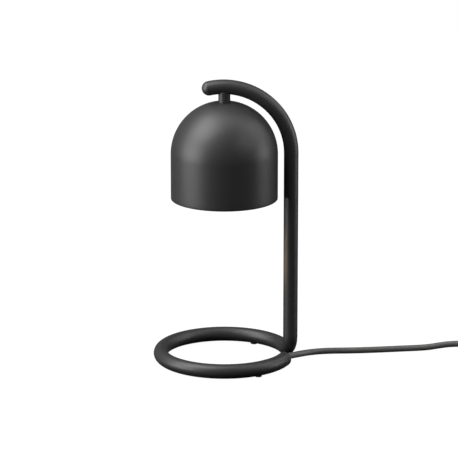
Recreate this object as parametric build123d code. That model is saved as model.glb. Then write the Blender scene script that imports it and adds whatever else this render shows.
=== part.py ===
from build123d import *
import os
from math import acos, atan2, cos, degrees, hypot, pi, radians, sin, sqrt, tan

# A candle warmer lamp: one bent tube makes the ring base, the upright and the arched arm.
# A spun dome shade hangs from the arm with a GU10 halogen bulb inside, over the candle's place.
# Millimetres, +Z up. The origin is on the table at the centre of the ring, under the shade's
# axis. +X points at the upright. The mains lead leaves the open end of the ring.

# ---- Bent tube frame ----
TUBE_DIAMETER = 16.0
TUBE_WALL = 1.2
UPRIGHT_CLEARANCE = 6.4  # between the upright and the shade
RING_END_ANGLE = -23.0  # the open end of the ring, seen from above
FOOT_BEND_RADIUS = 19.2  # from the upright into the ring
ARCH_RADIUS = 74.3
ARM_PAST_SHADE = 17.1  # from the shade's axis to the end of the tube
LAMP_HEIGHT = 317.8

# ---- Arm end cap and ring end bushing ----
CAP_SETBACK = 0.6  # the ball's centre behind the tube's end
SEAM_WIDTH = 0.4  # of the groove between the tube's end and the ball
SEAM_DEPTH = 0.35
SPIGOT_LENGTH = 9.0
SPIGOT_CLEARANCE = 0.05
BUSHING_FLANGE = 2.0
BUSHING_ROUNDING = 0.8

# ---- Feet ----
FOOT_ANGLES = {"front": -60.0, "back": 60.0, "left": 180.0}
FOOT_DIAMETER = 8.0
FOOT_PROUD = 1.0  # the ring's underside above the table
FOOT_STEM_DIAMETER = 4.0
FOOT_BARB_DIAMETER = 5.2
FOOT_BARB_LENGTH = 1.3

# ---- Shade and its hanging ----
SHADE_DIAMETER = 117.0
SHADE_WALL = 1.0
SHADE_SKIRT = 49.7  # the straight part below the dome
SHADE_FLAT_DIAMETER = 20.0  # pressed seat at the top
STEM_DIAMETER = 13.0
STEM_SHOWING = 9.25  # from the arm's underside to the shade's seat
NIPPLE_DIAMETER = 10.0
NIPPLE_BORE = 7.5
NIPPLE_BELOW_ARM = 1.25  # from the nipple's top to the arm's underside
NIPPLE_PAST_NUT = 1.5
THREAD_CLEARANCE = 0.1
WASHER_EDGE = 0.4  # inside the seat's edge
WASHER_THICKNESS = 1.0
NUT_ACROSS_FLATS = 14.0
NUT_THICKNESS = 3.0
FEED_HOLE_DIAMETER = 8.5  # in the arm, into the stem

# ---- Lamp holder and its bracket ----
BRACKET_THICKNESS = 1.2
BRACKET_WIDTH = 14.0
BRACKET_DROP = 11.0  # from the web's top to the holder
BRACKET_SPAN = 31.0
FLANGE_REACH = 9.0
HOLDER_DIAMETER = 27.0
HOLDER_HEIGHT = 16.0
HOLDER_LEDGE = 3.6
HOLDER_CAVITY = 5.4
HOLDER_SCREW_OFFSET = 10.0
SCREW_DIAMETER = 3.0
SCREW_HEAD_DIAMETER = 5.5
SCREW_HEAD_HEIGHT = 1.8
SCREW_DEPTH = 8.0
SCREW_HOLE_SPARE = 1.0
SCREW_CLEARANCE = 0.1
CONTACT_DIAMETER = 4.4
CONTACT_THICKNESS = 0.5
CONTACT_POST_DIAMETER = 1.8

# ---- GU10 bulb ----
BULB_LENGTH = 52.0
BULB_DIAMETER = 50.0
BULB_BASE_WIDTH = 18.0
BULB_BASE_LENGTH = 27.0
BULB_BASE_HEIGHT = 15.0
BULB_BASE_CORNER = 6.0
BULB_GLASS = 1.6
BULB_LENS = 2.4
BULB_BULGE = 3.2  # how far the reflector bows out of a straight cone
BULB_TWIST = 35.0  # bayonet turn
BULB_GAP = 0.4  # between the bulb's base and the holder
PIN_PITCH_RADIUS = 5.0
PIN_NECK_DIAMETER = 3.0
PIN_HEAD_DIAMETER = 5.0
PIN_HEAD_HEIGHT = 2.2
PIN_PLAY = 0.2  # above the ledge, and under the contact
KEYHOLE_PLAY = 0.4  # each side of a pin
CAPSULE_DIAMETER = 9.0
CAPSULE_LENGTH = 23.0
CAPSULE_WALL = 0.8
CAPSULE_PINCH = 5.0
FILAMENT_DIAMETER = 1.4
FILAMENT_LENGTH = 8.0
FILAMENT_LEG = 0.5

# ---- Wires inside the frame ----
WIRE_DIAMETER = 2.0
WIRE_GAP = 1.0  # between the two wires
WIRE_TURN = 5.0  # radius where a wire turns down into the stem
WIRE_FILLET = 1.2
TAIL_CLEAR = 1.5  # straight above the holder's wire holes
CRIMP_ANGLES = {1: 56.0, -1: 68.0}  # on the arch, one for each wire
CRIMP_WALL = 0.67
CRIMP_LENGTH = 12.0
CRIMP_CLEARANCE = 0.03

# ---- Mains lead ----
CORD_DIAMETER = 7.0
CORD_CLEARANCE = 0.05
CORD_INSIDE = 24.0  # the jacket's length inside the ring
CORD_GRIP_DIAMETER = 10.2
CORD_GRIP_LENGTH = 5.0
COIL_RADIUS = 38.0
COIL_WIDTH = 21.4  # three turns side by side
COIL_HEIGHT = 13.2  # two layers
COIL_TURNS = 5.25
COIL_CENTRE = (390.0, -30.0)
COIL_ROUNDING = 3.0
TIE_THICKNESS = 0.6
TIE_GAP = 0.8  # beside the turns, which curve away under the strap
TIE_WIDTH = 12.0
TIE_ANGLE = 135.0
RELIEF_LENGTH = 20.0
RELIEF_TIP_DIAMETER = 8.4
RELIEF_ROOT_DIAMETER = 10.8

# ---- In-line dimmer with timer ----
CONTROL_CENTRE = (322.0, 27.0)
CONTROL_LENGTH = 72.0
CONTROL_WIDTH = 34.0
CONTROL_HEIGHT = 18.0
CONTROL_CORNER = 10.0
CONTROL_WALL = 1.8
CONTROL_TOP_ROUNDING = 3.0
CONTROL_BOTTOM_ROUNDING = 1.4
CORD_AXIS = 8.0  # height of the lead's axis in the control, where its two shells part
RELIEF_NECK_DIAMETER = 8.6
RELIEF_COLLAR = 1.5
BOARD_END_GAP = 2.5  # from the board to the clamps
BOARD_SIDE_GAP = 2.2  # from the board to the shell
BOARD_THICKNESS = 1.6
BOARD_STANDOFF = 2.0
PEG_DIAMETER = 4.0
PEG_INSETS = (6.0, 3.0)  # from the board's edges
DIAL_X = -14.0
DIAL_DIAMETER = 25.0
DIAL_HEIGHT = 5.5
DIAL_GAP = 0.4
DIAL_GROOVES = 24
DIAL_GROOVE_DIAMETER = 1.3
DIAL_ROUNDING = 0.8
DIAL_MARK_WIDTH = 1.2
DIAL_MARK_DEPTH = 0.6
DIAL_MARK_START = 4.2  # from the dial's centre
SHAFT_DIAMETER = 6.0
SHAFT_GRIP = 4.0  # how deep the shaft sits in the dial
SHAFT_FIT = 0.05
SHAFT_PLAY = 0.3  # in the cover's hole
POT_WIDTH = 12.0
POT_HEIGHT = 5.5
POT_FLOOR = 1.0  # under the shaft
BUTTON_X = {"power": 5.5, "timer": 18.0}
BUTTON_DIAMETER = 8.0
BUTTON_PROUD = 1.2
BUTTON_PLAY = 0.25
BUTTON_ROUNDING = 0.6
BUTTON_LIP = 1.2  # how far the flange stands out beyond the cap
BUTTON_FLANGE = 0.8
BUTTON_STEM_DIAMETER = 4.0
TACT_WIDTH = 6.0
TACT_HEIGHT = 3.6
PLUNGER_DIAMETER = 3.4
PLUNGER_PROUD = 1.0
PLUNGER_SUNK = 1.4
BUTTON_TRAVEL = 0.5
LIGHT_XS = (7.0, 13.0, 19.0)
LIGHT_INSET = 2.5  # from the board's edge
LIGHT_DIAMETER = 2.0
LIGHT_PROUD = 0.2
LED_SIZE = (2.0, 1.2, 0.8)
LED_GAP = 0.3
CLAMP_INSET = 1.2  # from the relief's collar
CLAMP_THICKNESS = 4.0
CLAMP_WIDTH = 14.0
CLAMP_BAR_HEIGHT = 4.9
CLAMP_GAP = 0.2
CLAMP_SCREW_Y = 5.4
CLAMP_SCREW_DIAMETER = 2.0
CLAMP_SCREW_HEAD = 3.4
CLAMP_SCREW_HEAD_HEIGHT = 1.2
CASE_SCREW_INSETS = (8.0, 6.0)  # from the control's outline
CASE_SCREW_DIAMETER = 2.4
CASE_SCREW_HEAD = 4.2
CASE_SCREW_HEAD_HEIGHT = 1.2
CASE_BOSS_DIAMETER = 5.0
CASE_SCREW_SUNK = 0.2  # below the control's underside
CASE_SCREW_LENGTH = 12.0
JACKET_PAST_CLAMP = 1.5
CORE_DIAMETER = 1.8
CORE_OFFSET = 1.4
CORE_RUN = 2.0  # from the jacket's end to the board's pad
PART_INSET = 0.4  # from the board's edge to the parts along it
TRIAC_XS = (8.0, 18.0)
TRIAC_DEPTH = 4.4
TRIAC_HEIGHT = 7.5
TRIAC_TAB = 0.8  # thickness of its metal tab
TRIAC_TAB_GAP = 0.8  # under the cover
CAPACITOR_XS = (-6.0, 3.0)
CAPACITOR_DEPTH = 5.0
CAPACITOR_HEIGHT = 8.0
CHOKE_X = -1.0
CHOKE_DIAMETER = 8.0
CHOKE_BORE = 3.2
CHOKE_HEIGHT = 6.0

# ---- Plug ----
PLUG_TIP = (352.0, -66.0)  # where the lead enters its strain relief
PLUG_LENGTH = 28.0
PLUG_WIDTH = 24.0
PLUG_HEIGHT = 16.0
PLUG_TAPER_LENGTH = 12.0
PLUG_TAPER = 12.0
PLUG_CORNER = 3.8
PLUG_RELIEF_LENGTH = 22.0
PLUG_CORD_DEPTH = 10.0
BLADE_SPACING = 12.7
BLADE_WIDTH = 6.35
BLADE_THICKNESS = 1.5
BLADE_LENGTH = 17.5
BLADE_ROOT = 8.0

# ---- Worked out ----
TUBE_R = TUBE_DIAMETER / 2
BORE_R = TUBE_R - TUBE_WALL
RING_Z = FOOT_PROUD + TUBE_R
UPRIGHT_X = SHADE_DIAMETER / 2 + UPRIGHT_CLEARANCE + TUBE_R
RING_RADIUS = sqrt(UPRIGHT_X**2 - FOOT_BEND_RADIUS**2)  # to the tube's centreline
FOOT_BEND_ANGLE = degrees(atan2(FOOT_BEND_RADIUS, RING_RADIUS))
BEND_WAY = (-sin(radians(FOOT_BEND_ANGLE)), cos(radians(FOOT_BEND_ANGLE)))
ARCH_X = UPRIGHT_X - ARCH_RADIUS
ARCH_SWEEP = degrees(acos((-ARM_PAST_SHADE - ARCH_X) / ARCH_RADIUS))  # from the upright
ARCH_Z = LAMP_HEIGHT - TUBE_R - ARCH_RADIUS
ARM_AXIS_Z = ARCH_Z + sqrt(ARCH_RADIUS**2 - ARCH_X**2)  # the arm's centreline over the shade

SHADE_R = SHADE_DIAMETER / 2
SHADE_TOP = ARM_AXIS_Z - TUBE_R - STEM_SHOWING
DOME_Z = SHADE_TOP - sqrt(SHADE_R**2 - (SHADE_FLAT_DIAMETER / 2) ** 2)
SHADE_RIM = DOME_Z - SHADE_SKIRT
NIPPLE_TOP = SHADE_TOP + STEM_SHOWING - NIPPLE_BELOW_ARM
SEAT_R = sqrt((SHADE_R - SHADE_WALL) ** 2 - (SHADE_TOP - SHADE_WALL - DOME_Z) ** 2)  # inside the shade
WASHER_TOP = SHADE_TOP - SHADE_WALL
UPPER_NUT_TOP = WASHER_TOP - WASHER_THICKNESS
WEB_TOP = UPPER_NUT_TOP - NUT_THICKNESS
LOWER_NUT_TOP = WEB_TOP - BRACKET_THICKNESS
NIPPLE_END = LOWER_NUT_TOP - NUT_THICKNESS - NIPPLE_PAST_NUT
HOLDER_TOP = WEB_TOP - BRACKET_DROP
HOLDER_FACE = HOLDER_TOP - HOLDER_HEIGHT
BULB_TOP = HOLDER_FACE - BULB_GAP
PIN_SHOULDER = HOLDER_FACE + HOLDER_LEDGE + PIN_PLAY
CONTACT_Z = PIN_SHOULDER + PIN_HEAD_HEIGHT + PIN_PLAY
TERMINAL_Z = HOLDER_FACE + HOLDER_LEDGE + HOLDER_CAVITY

WIRE_OFFSET = (WIRE_DIAMETER + WIRE_GAP) / 2  # each side of the tube's centreline
CRIMP_BORE_R = WIRE_DIAMETER / 2 + CRIMP_CLEARANCE
CORD_R = CORD_DIAMETER / 2
CORD_HOLE_R = CORD_R + CORD_CLEARANCE
COIL_TOP = TIE_THICKNESS + COIL_HEIGHT
BOARD_TOP = CONTROL_WALL + BOARD_STANDOFF + BOARD_THICKNESS
CEILING = CONTROL_HEIGHT - CONTROL_WALL
DIAL_BASE = CONTROL_HEIGHT + DIAL_GAP
PLUNGER_TOP = BOARD_TOP + TACT_HEIGHT + PLUNGER_PROUD
PLUNGER_BASE = BOARD_TOP + TACT_HEIGHT - PLUNGER_SUNK
CONTROL_EAR = CONTROL_LENGTH / 2
CLAMP_X = CONTROL_EAR - CONTROL_WALL - RELIEF_COLLAR - CLAMP_INSET - CLAMP_THICKNESS / 2
JACKET_END_X = CLAMP_X - CLAMP_THICKNESS / 2 - JACKET_PAST_CLAMP
BOARD_HALF_LENGTH = CLAMP_X - CLAMP_THICKNESS / 2 - BOARD_END_GAP
BOARD_HALF_WIDTH = CONTROL_WIDTH / 2 - CONTROL_WALL - BOARD_SIDE_GAP
LIGHT_Y = BOARD_HALF_WIDTH - LIGHT_INSET
PART_EDGE = BOARD_HALF_WIDTH - PART_INSET
PEG_PLACES = (BOARD_HALF_LENGTH - PEG_INSETS[0], BOARD_HALF_WIDTH - PEG_INSETS[1])
CASE_SCREW_PLACES = (CONTROL_EAR - CASE_SCREW_INSETS[0], CONTROL_WIDTH / 2 - CASE_SCREW_INSETS[1])
PLUG_AXIS = PLUG_HEIGHT / 2

# ---- Routes of the lead: points chosen by hand, with an arc at every corner ----
LAMP_ROUTE = [
    (65.52, -25.64, 9.0),
    (68.88, -17.72, 9.0),
    (74.5, -8.9, 7.5),
    (82.2, 0.9, 5.8),
    (91.6, 10.2, 4.5),
    (103.9, 17.0, 3.7),
    (119.2, 19.9, 3.5),
    (142.0, 19.8, 3.5),
    (171.0, 22.0, 3.5),
    (200.0, 25.6, 3.5),
    (226.0, 27.2, 3.9),
    (241.0, 27.0, 6.3),
    (253.5, 27.0, 8.0),
    (266.0, 27.0, 8.0),
]
CONTROL_ROUTE = [
    (378.0, 27.0, 8.0),
    (391.0, 27.0, 8.0),
    (403.5, 25.0, 6.6),
    (414.2, 19.5, 5.0),
    (422.2, 10.9, 4.1),
    (427.0, 0.0, 4.1),
    (428.2, -12.5, 4.1),
    (428.0, -26.0, 4.1),
]
PLUG_ROUTE = [
    (397.0, -68.0, 4.1),
    (385.0, -67.6, 4.7),
    (373.0, -66.6, 6.7),
    (362.5, -66.0, 8.0),
    (352.0, -66.0, 8.0),
]


# ---- Shapes ----
def disc(radius, low, high, x=0.0, y=0.0):
    """An upright cylinder between two heights."""
    return Pos(x, y, low) * Cylinder(radius, high - low, align=(Align.CENTER, Align.CENTER, Align.MIN))


def block(xs, ys, zs):
    """A box between two corners, given as pairs along X, Y and Z."""
    corner = Pos(xs[0], ys[0], zs[0])
    return corner * Box(xs[1] - xs[0], ys[1] - ys[0], zs[1] - zs[0], align=(Align.MIN,) * 3)


def rod(start, end, radius, end_radius=None):
    """A round bar or cone from one point to another."""
    start, end = Vector(start), Vector(end)
    plane, length = Plane(origin=start, z_dir=end - start), (end - start).length
    align = (Align.CENTER, Align.CENTER, Align.MIN)
    if end_radius is None:
        return plane * Cylinder(radius, length, align=align)
    return plane * Cone(radius, end_radius, length, align=align)


def swept(path, outer, inner=0.0):
    """A round bar, or a tube with a bore, along a path."""
    ring = Circle(outer) - Circle(inner) if inner else Circle(outer)
    return sweep(Plane(origin=path @ 0, z_dir=path % 0) * ring, path=path)


def arc_slot(pitch, width, start, end, low, high):
    """A round-ended slot along an arc about Z."""
    slot = Pos(0, 0, low) * extrude(
        make_face(
            [
                CenterArc((0, 0), pitch + width / 2, start, end - start),
                Line(at(pitch + width / 2, end), at(pitch - width / 2, end)),
                CenterArc((0, 0), pitch - width / 2, end, start - end),
                Line(at(pitch - width / 2, start), at(pitch + width / 2, start)),
            ]
        ),
        high - low,
    )
    for angle in (start, end):
        slot += disc(width / 2, low, high, *at(pitch, angle))
    return slot


def at(radius, angle):
    """The plan position at a radius and an angle in degrees."""
    return radius * cos(radians(angle)), radius * sin(radians(angle))


def save(name, shape):
    """Writes one sub-part."""
    export_step(shape, f"parts/{name}.step")


# ---- Centreline of the frame, and lines beside it ----
def ring_arc(start, end, height=RING_Z):
    """An arc of the ring's centreline."""
    ends = [Vector(*at(RING_RADIUS, a), height) for a in (start, (start + end) / 2, end)]
    return ThreePointArc(*ends)


def ring_way(angle):
    """The direction along the ring at an angle."""
    return Vector(-sin(radians(angle)), cos(radians(angle)), 0)


def arch_point(angle, side=0.0, inward=0.0):
    """A point on the arch's centreline, or beside it by the offset that a wire keeps."""
    radius = ARCH_RADIUS + side * BEND_WAY[0] - inward
    x, z = at(radius, angle)
    return Vector(ARCH_X + x, side * BEND_WAY[1], ARCH_Z + z)


def arch_arc(start, end, side=0.0):
    """An arc of the arch."""
    return ThreePointArc(*[arch_point(a, side) for a in (start, (start + end) / 2, end)])


def frame_line(arch_start, ring_stop, side=0.0):
    """The whole line from the arch, down the upright and round the ring. side offsets it."""
    centre = Vector(*at(RING_RADIUS, FOOT_BEND_ANGLE), RING_Z + FOOT_BEND_RADIUS)
    way, radius = Vector(*BEND_WAY, 0), FOOT_BEND_RADIUS - side
    bend = [
        centre - way * (radius * cos(radians(a))) - Vector(0, 0, radius * sin(radians(a)))
        for a in (0, 45, 90)
    ]
    return Wire(
        [
            arch_arc(arch_start, 0, side),
            Line(arch_point(0, side), bend[0]),
            ThreePointArc(*bend),
            ring_arc(FOOT_BEND_ANGLE, 360 + ring_stop, RING_Z + side),
        ]
    )


# ---- Frame and its fittings ----
def frame_tube():
    """The bent tube, with holes for the wires and the feet's stems."""
    tube = swept(frame_line(ARCH_SWEEP, RING_END_ANGLE), TUBE_R, BORE_R)
    tube -= disc(FEED_HOLE_DIAMETER / 2, ARM_AXIS_Z - TUBE_DIAMETER, ARM_AXIS_Z)
    for angle in FOOT_ANGLES.values():
        hole = disc(FOOT_STEM_DIAMETER / 2 + SPIGOT_CLEARANCE, 0, RING_Z, *at(RING_RADIUS, angle))
        tube -= hole
    return tube


def arm_end_cap():
    """The ball that closes the arm, with a spigot in the tube's bore."""
    end = arch_point(ARCH_SWEEP)
    way = Vector(-sin(radians(ARCH_SWEEP)), 0, cos(radians(ARCH_SWEEP)))
    plane = Plane(origin=end, z_dir=way)
    ball = Pos(*(end - way * CAP_SETBACK)) * Sphere(TUBE_R)
    beyond = plane * Box(4 * TUBE_R, 4 * TUBE_R, 4 * TUBE_R, align=(Align.CENTER, Align.CENTER, Align.MIN))
    spigot_sweep = degrees(SPIGOT_LENGTH / ARCH_RADIUS)
    spigot = swept(arch_arc(ARCH_SWEEP, ARCH_SWEEP - spigot_sweep), BORE_R - SPIGOT_CLEARANCE)
    align = (Align.CENTER, Align.CENTER, Align.MIN)
    seam = Cylinder(2 * TUBE_R, SEAM_WIDTH, align=align) - Cylinder(TUBE_R - SEAM_DEPTH, SEAM_WIDTH, align=align)
    return (ball & beyond) - plane * seam + spigot


def ring_end_bushing():
    """The rounded plug in the ring's open end, which the lead comes through."""
    end = Vector(*at(RING_RADIUS, RING_END_ANGLE), RING_Z)
    align = (Align.CENTER, Align.CENTER, Align.MIN)
    face = Plane(origin=end, z_dir=ring_way(RING_END_ANGLE))
    flange = Cylinder(TUBE_R, BUSHING_FLANGE, align=align)
    flange = fillet(flange.edges().group_by(Axis.Z)[-1], BUSHING_ROUNDING)
    flange -= Cylinder(CORD_HOLE_R, BUSHING_FLANGE, align=align)
    return face * flange + swept(
        ring_arc(RING_END_ANGLE, RING_END_ANGLE - degrees(SPIGOT_LENGTH / RING_RADIUS)),
        BORE_R - SPIGOT_CLEARANCE,
        CORD_HOLE_R,
    )


def cord_grip():
    """The crimped ring on the lead's jacket that bears on the bushing from inside."""
    near = RING_END_ANGLE - degrees(SPIGOT_LENGTH / RING_RADIUS)
    far = near - degrees(CORD_GRIP_LENGTH / RING_RADIUS)
    return swept(ring_arc(near, far), CORD_GRIP_DIAMETER / 2, CORD_HOLE_R)


def jacket_in_ring():
    """The lead's jacket inside the ring, from its stripped end to the bushing's face."""
    end = Vector(*at(RING_RADIUS, RING_END_ANGLE), RING_Z)
    face = end + ring_way(RING_END_ANGLE) * BUSHING_FLANGE
    start = RING_END_ANGLE - degrees(CORD_INSIDE / RING_RADIUS)
    return swept(Wire([ring_arc(start, RING_END_ANGLE), Line(end, face)]), CORD_R)


def lead_wires():
    """The two cores inside the tube, from the stripped jacket to their crimps."""
    stop = RING_END_ANGLE - degrees(CORD_INSIDE / RING_RADIUS)
    return [
        swept(frame_line(angle, stop, side * WIRE_OFFSET), WIRE_DIAMETER / 2)
        for side, angle in CRIMP_ANGLES.items()
    ]


def crimps():
    """The sleeves that join the cores to the holder's tails."""
    half = degrees(CRIMP_LENGTH / 2 / ARCH_RADIUS)
    return [
        swept(
            arch_arc(angle - half, angle + half, side * WIRE_OFFSET),
            CRIMP_BORE_R + CRIMP_WALL,
            CRIMP_BORE_R,
        )
        for side, angle in CRIMP_ANGLES.items()
    ]


def holder_tails():
    """The holder's two tails, from the crimps down through the stem to the terminals."""
    tails = []
    for side, angle in CRIMP_ANGLES.items():
        offset = side * WIRE_OFFSET
        radius = ARCH_RADIUS + offset * BEND_WAY[0]
        leave = degrees(acos((WIRE_TURN - ARCH_X) / (radius - WIRE_TURN)))
        hub = arch_point(leave, offset, WIRE_TURN)
        turn = [
            hub + Vector(WIRE_TURN * cos(radians(a)), 0, WIRE_TURN * sin(radians(a)))
            for a in (leave, (leave + 180) / 2, 180)
        ]
        y, spread = offset * BEND_WAY[1], side * PIN_PITCH_RADIUS
        fall = FilletPolyline(
            turn[2],
            (0, y, NIPPLE_END),
            (0, spread, HOLDER_TOP + TAIL_CLEAR),
            (0, spread, TERMINAL_Z + CONTACT_POST_DIAMETER),
            radius=WIRE_FILLET,
        )
        line = Wire([arch_arc(angle, leave, offset), ThreePointArc(*turn), *fall.edges()])
        tails.append(swept(line, WIRE_DIAMETER / 2))
    return tails


def foot(angle):
    """A rubber foot pushed into the ring's underside."""
    x, y = at(RING_RADIUS, angle)
    wall_top = FOOT_PROUD + TUBE_WALL
    barb_low = RING_Z - sqrt(BORE_R**2 - (FOOT_BARB_DIAMETER / 2) ** 2) + SPIGOT_CLEARANCE
    pad_top = RING_Z - sqrt(TUBE_R**2 - (FOOT_DIAMETER / 2) ** 2)
    pad = disc(FOOT_DIAMETER / 2, 0, pad_top, x, y)
    saddle = degrees(FOOT_DIAMETER / RING_RADIUS)
    pad -= swept(ring_arc(angle - saddle, angle + saddle), TUBE_R)
    pad += disc(FOOT_STEM_DIAMETER / 2, wall_top / 2, barb_low, x, y)
    return pad + disc(FOOT_BARB_DIAMETER / 2, barb_low, barb_low + FOOT_BARB_LENGTH, x, y)


# ---- Shade and its hanging ----
def shade_stem():
    """The short stem under the arm, saddle-cut to the tube and bored for the nipple."""
    stem = disc(STEM_DIAMETER / 2, SHADE_TOP, ARM_AXIS_Z)
    over, saddle = degrees(acos(-ARCH_X / ARCH_RADIUS)), degrees(STEM_DIAMETER / ARCH_RADIUS)
    stem -= swept(arch_arc(over - saddle, over + saddle), TUBE_R)
    stem -= disc(FEED_HOLE_DIAMETER / 2, SHADE_TOP, ARM_AXIS_Z)
    bore = NIPPLE_DIAMETER / 2 + THREAD_CLEARANCE
    return stem - disc(bore, SHADE_TOP, NIPPLE_TOP)


def threaded_nipple():
    """The hollow nipple that the shade hangs on."""
    nipple = disc(NIPPLE_DIAMETER / 2, NIPPLE_END, NIPPLE_TOP)
    return nipple - disc(NIPPLE_BORE / 2, NIPPLE_END, NIPPLE_TOP)


def shade_shell():
    """The spun shade: a flat seat, a dome and a straight skirt with a plain rim."""
    inner_r, seat = SHADE_R - SHADE_WALL, SHADE_TOP - SHADE_WALL
    hole = NIPPLE_DIAMETER / 2 + THREAD_CLEARANCE
    outer_flat = SHADE_FLAT_DIAMETER / 2

    def middle(radius, flat):
        """The point half way along the dome's arc."""
        angle = (90 - degrees(atan2(flat, sqrt(radius**2 - flat**2)))) / 2
        x, z = at(radius, angle)
        return x, 0, DOME_Z + z

    section = [
        Line((hole, 0, SHADE_TOP), (outer_flat, 0, SHADE_TOP)),
        ThreePointArc((outer_flat, 0, SHADE_TOP), middle(SHADE_R, outer_flat), (SHADE_R, 0, DOME_Z)),
        Line((SHADE_R, 0, DOME_Z), (SHADE_R, 0, SHADE_RIM)),
        Line((SHADE_R, 0, SHADE_RIM), (inner_r, 0, SHADE_RIM)),
        Line((inner_r, 0, SHADE_RIM), (inner_r, 0, DOME_Z)),
        ThreePointArc((inner_r, 0, DOME_Z), middle(inner_r, SEAT_R), (SEAT_R, 0, seat)),
        Line((SEAT_R, 0, seat), (hole, 0, seat)),
        Line((hole, 0, seat), (hole, 0, SHADE_TOP)),
    ]
    return revolve(make_face(section), Axis.Z)


def shade_washer():
    """The washer under the shade's seat."""
    washer = disc(SEAT_R - WASHER_EDGE, UPPER_NUT_TOP, WASHER_TOP)
    return washer - disc(NIPPLE_DIAMETER / 2 + THREAD_CLEARANCE, UPPER_NUT_TOP, WASHER_TOP)


def lock_nuts():
    """Two nuts on the nipple: one clamps the shade, the other the bracket."""
    nuts = []
    for top in (UPPER_NUT_TOP, LOWER_NUT_TOP):
        hexagon = RegularPolygon(NUT_ACROSS_FLATS / 2, 6, major_radius=False)
        nut = Pos(0, 0, top - NUT_THICKNESS) * extrude(hexagon, NUT_THICKNESS)
        nuts.append(nut - disc(NIPPLE_DIAMETER / 2 + THREAD_CLEARANCE, top - NUT_THICKNESS, top))
    return nuts


def holder_bracket():
    """A hat-shaped strip: its web is on the nipple and its two flanges hold the lamp holder."""
    half, wide, thick = BRACKET_SPAN / 2, BRACKET_WIDTH / 2, BRACKET_THICKNESS
    strip = block((-half, half), (-wide, wide), (WEB_TOP - thick, WEB_TOP))
    strip -= disc(NIPPLE_DIAMETER / 2 + THREAD_CLEARANCE, WEB_TOP - thick, WEB_TOP)
    for side in (-1, 1):
        leg = sorted((side * half, side * (half - thick)))
        flange = sorted((side * half, side * (half - FLANGE_REACH)))
        strip += block(leg, (-wide, wide), (HOLDER_TOP, WEB_TOP))
        strip += block(flange, (-wide, wide), (HOLDER_TOP, HOLDER_TOP + thick))
        hole = SCREW_DIAMETER / 2 + SCREW_CLEARANCE
        strip -= disc(hole, HOLDER_TOP, HOLDER_TOP + thick, side * HOLDER_SCREW_OFFSET)
    return strip


def holder_screws():
    """The two screws that fix the lamp holder to its bracket."""
    screws = []
    for side in (-1, 1):
        x, seat = side * HOLDER_SCREW_OFFSET, HOLDER_TOP + BRACKET_THICKNESS
        shank = disc(SCREW_DIAMETER / 2, HOLDER_TOP - SCREW_DEPTH, seat, x)
        screws.append(shank + disc(SCREW_HEAD_DIAMETER / 2, seat, seat + SCREW_HEAD_HEIGHT, x))
    return screws


def lamp_holder():
    """The ceramic holder, with a keyhole slot for each bulb pin and a hole for each wire."""
    body = disc(HOLDER_DIAMETER / 2, HOLDER_FACE, HOLDER_TOP)
    ledge = HOLDER_FACE + HOLDER_LEDGE
    neck, head = PIN_NECK_DIAMETER + 2 * KEYHOLE_PLAY, PIN_HEAD_DIAMETER + 2 * KEYHOLE_PLAY
    for locked in (90, -90):
        entry = locked - BULB_TWIST
        body -= arc_slot(PIN_PITCH_RADIUS, neck, entry, locked, HOLDER_FACE, ledge)
        body -= arc_slot(PIN_PITCH_RADIUS, head, entry, locked, ledge, TERMINAL_Z)
        body -= disc(head / 2, HOLDER_FACE, ledge, *at(PIN_PITCH_RADIUS, entry))
        wire_hole = WIRE_DIAMETER / 2 + CORD_CLEARANCE
        body -= disc(wire_hole, TERMINAL_Z, HOLDER_TOP, *at(PIN_PITCH_RADIUS, locked))
    for side in (-1, 1):
        hole = SCREW_DIAMETER / 2 + SCREW_CLEARANCE
        bottom = HOLDER_TOP - SCREW_DEPTH - SCREW_HOLE_SPARE
        body -= disc(hole, bottom, HOLDER_TOP, side * HOLDER_SCREW_OFFSET)
    return body


def holder_contacts():
    """The two contacts that press on the bulb's pins and meet the tails."""
    contacts = []
    for angle in (90, -90):
        x, y = at(PIN_PITCH_RADIUS, angle)
        leaf = disc(CONTACT_DIAMETER / 2, CONTACT_Z, CONTACT_Z + CONTACT_THICKNESS, x, y)
        post_top = TERMINAL_Z + CONTACT_POST_DIAMETER
        contacts.append(leaf + disc(CONTACT_POST_DIAMETER / 2, CONTACT_Z, post_top, x, y))
    return contacts


# ---- Bulb ----
def bulb_base():
    """The bulb's ceramic base."""
    low = BULB_TOP - BULB_BASE_HEIGHT
    plan = RectangleRounded(BULB_BASE_WIDTH, BULB_BASE_LENGTH, BULB_BASE_CORNER)
    return Pos(0, 0, low) * extrude(plan, BULB_BASE_HEIGHT)


def bulb_pins():
    """The two headed pins."""
    pins = []
    for angle in (90, -90):
        x, y = at(PIN_PITCH_RADIUS, angle)
        neck = disc(PIN_NECK_DIAMETER / 2, BULB_TOP, PIN_SHOULDER, x, y)
        head_top = PIN_SHOULDER + PIN_HEAD_HEIGHT
        pins.append(neck + disc(PIN_HEAD_DIAMETER / 2, PIN_SHOULDER, head_top, x, y))
    return pins


def reflector_line(shrink):
    """The reflector's profile from its neck to its front, moved in by a wall."""
    top, low = BULB_TOP - BULB_BASE_HEIGHT, BULB_TOP - BULB_LENGTH + BULB_LENS
    neck, front = BULB_BASE_LENGTH / 2 - shrink, BULB_DIAMETER / 2 - shrink
    start, end = (neck, 0, top - shrink), (front, 0, low)
    bow = ((neck + front) / 2 + BULB_BULGE, 0, (top - shrink + low) / 2)
    return start, bow, end


def bulb_reflector():
    """The bulb's glass reflector, open at the front."""
    outer, inner = reflector_line(0), reflector_line(BULB_GLASS)
    section = [
        Line((0, 0, outer[0][2]), outer[0]),
        ThreePointArc(*outer),
        Line(outer[2], inner[2]),
        ThreePointArc(*reversed(inner)),
        Line(inner[0], (0, 0, inner[0][2])),
        Line((0, 0, inner[0][2]), (0, 0, outer[0][2])),
    ]
    return revolve(make_face(section), Axis.Z)


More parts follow.
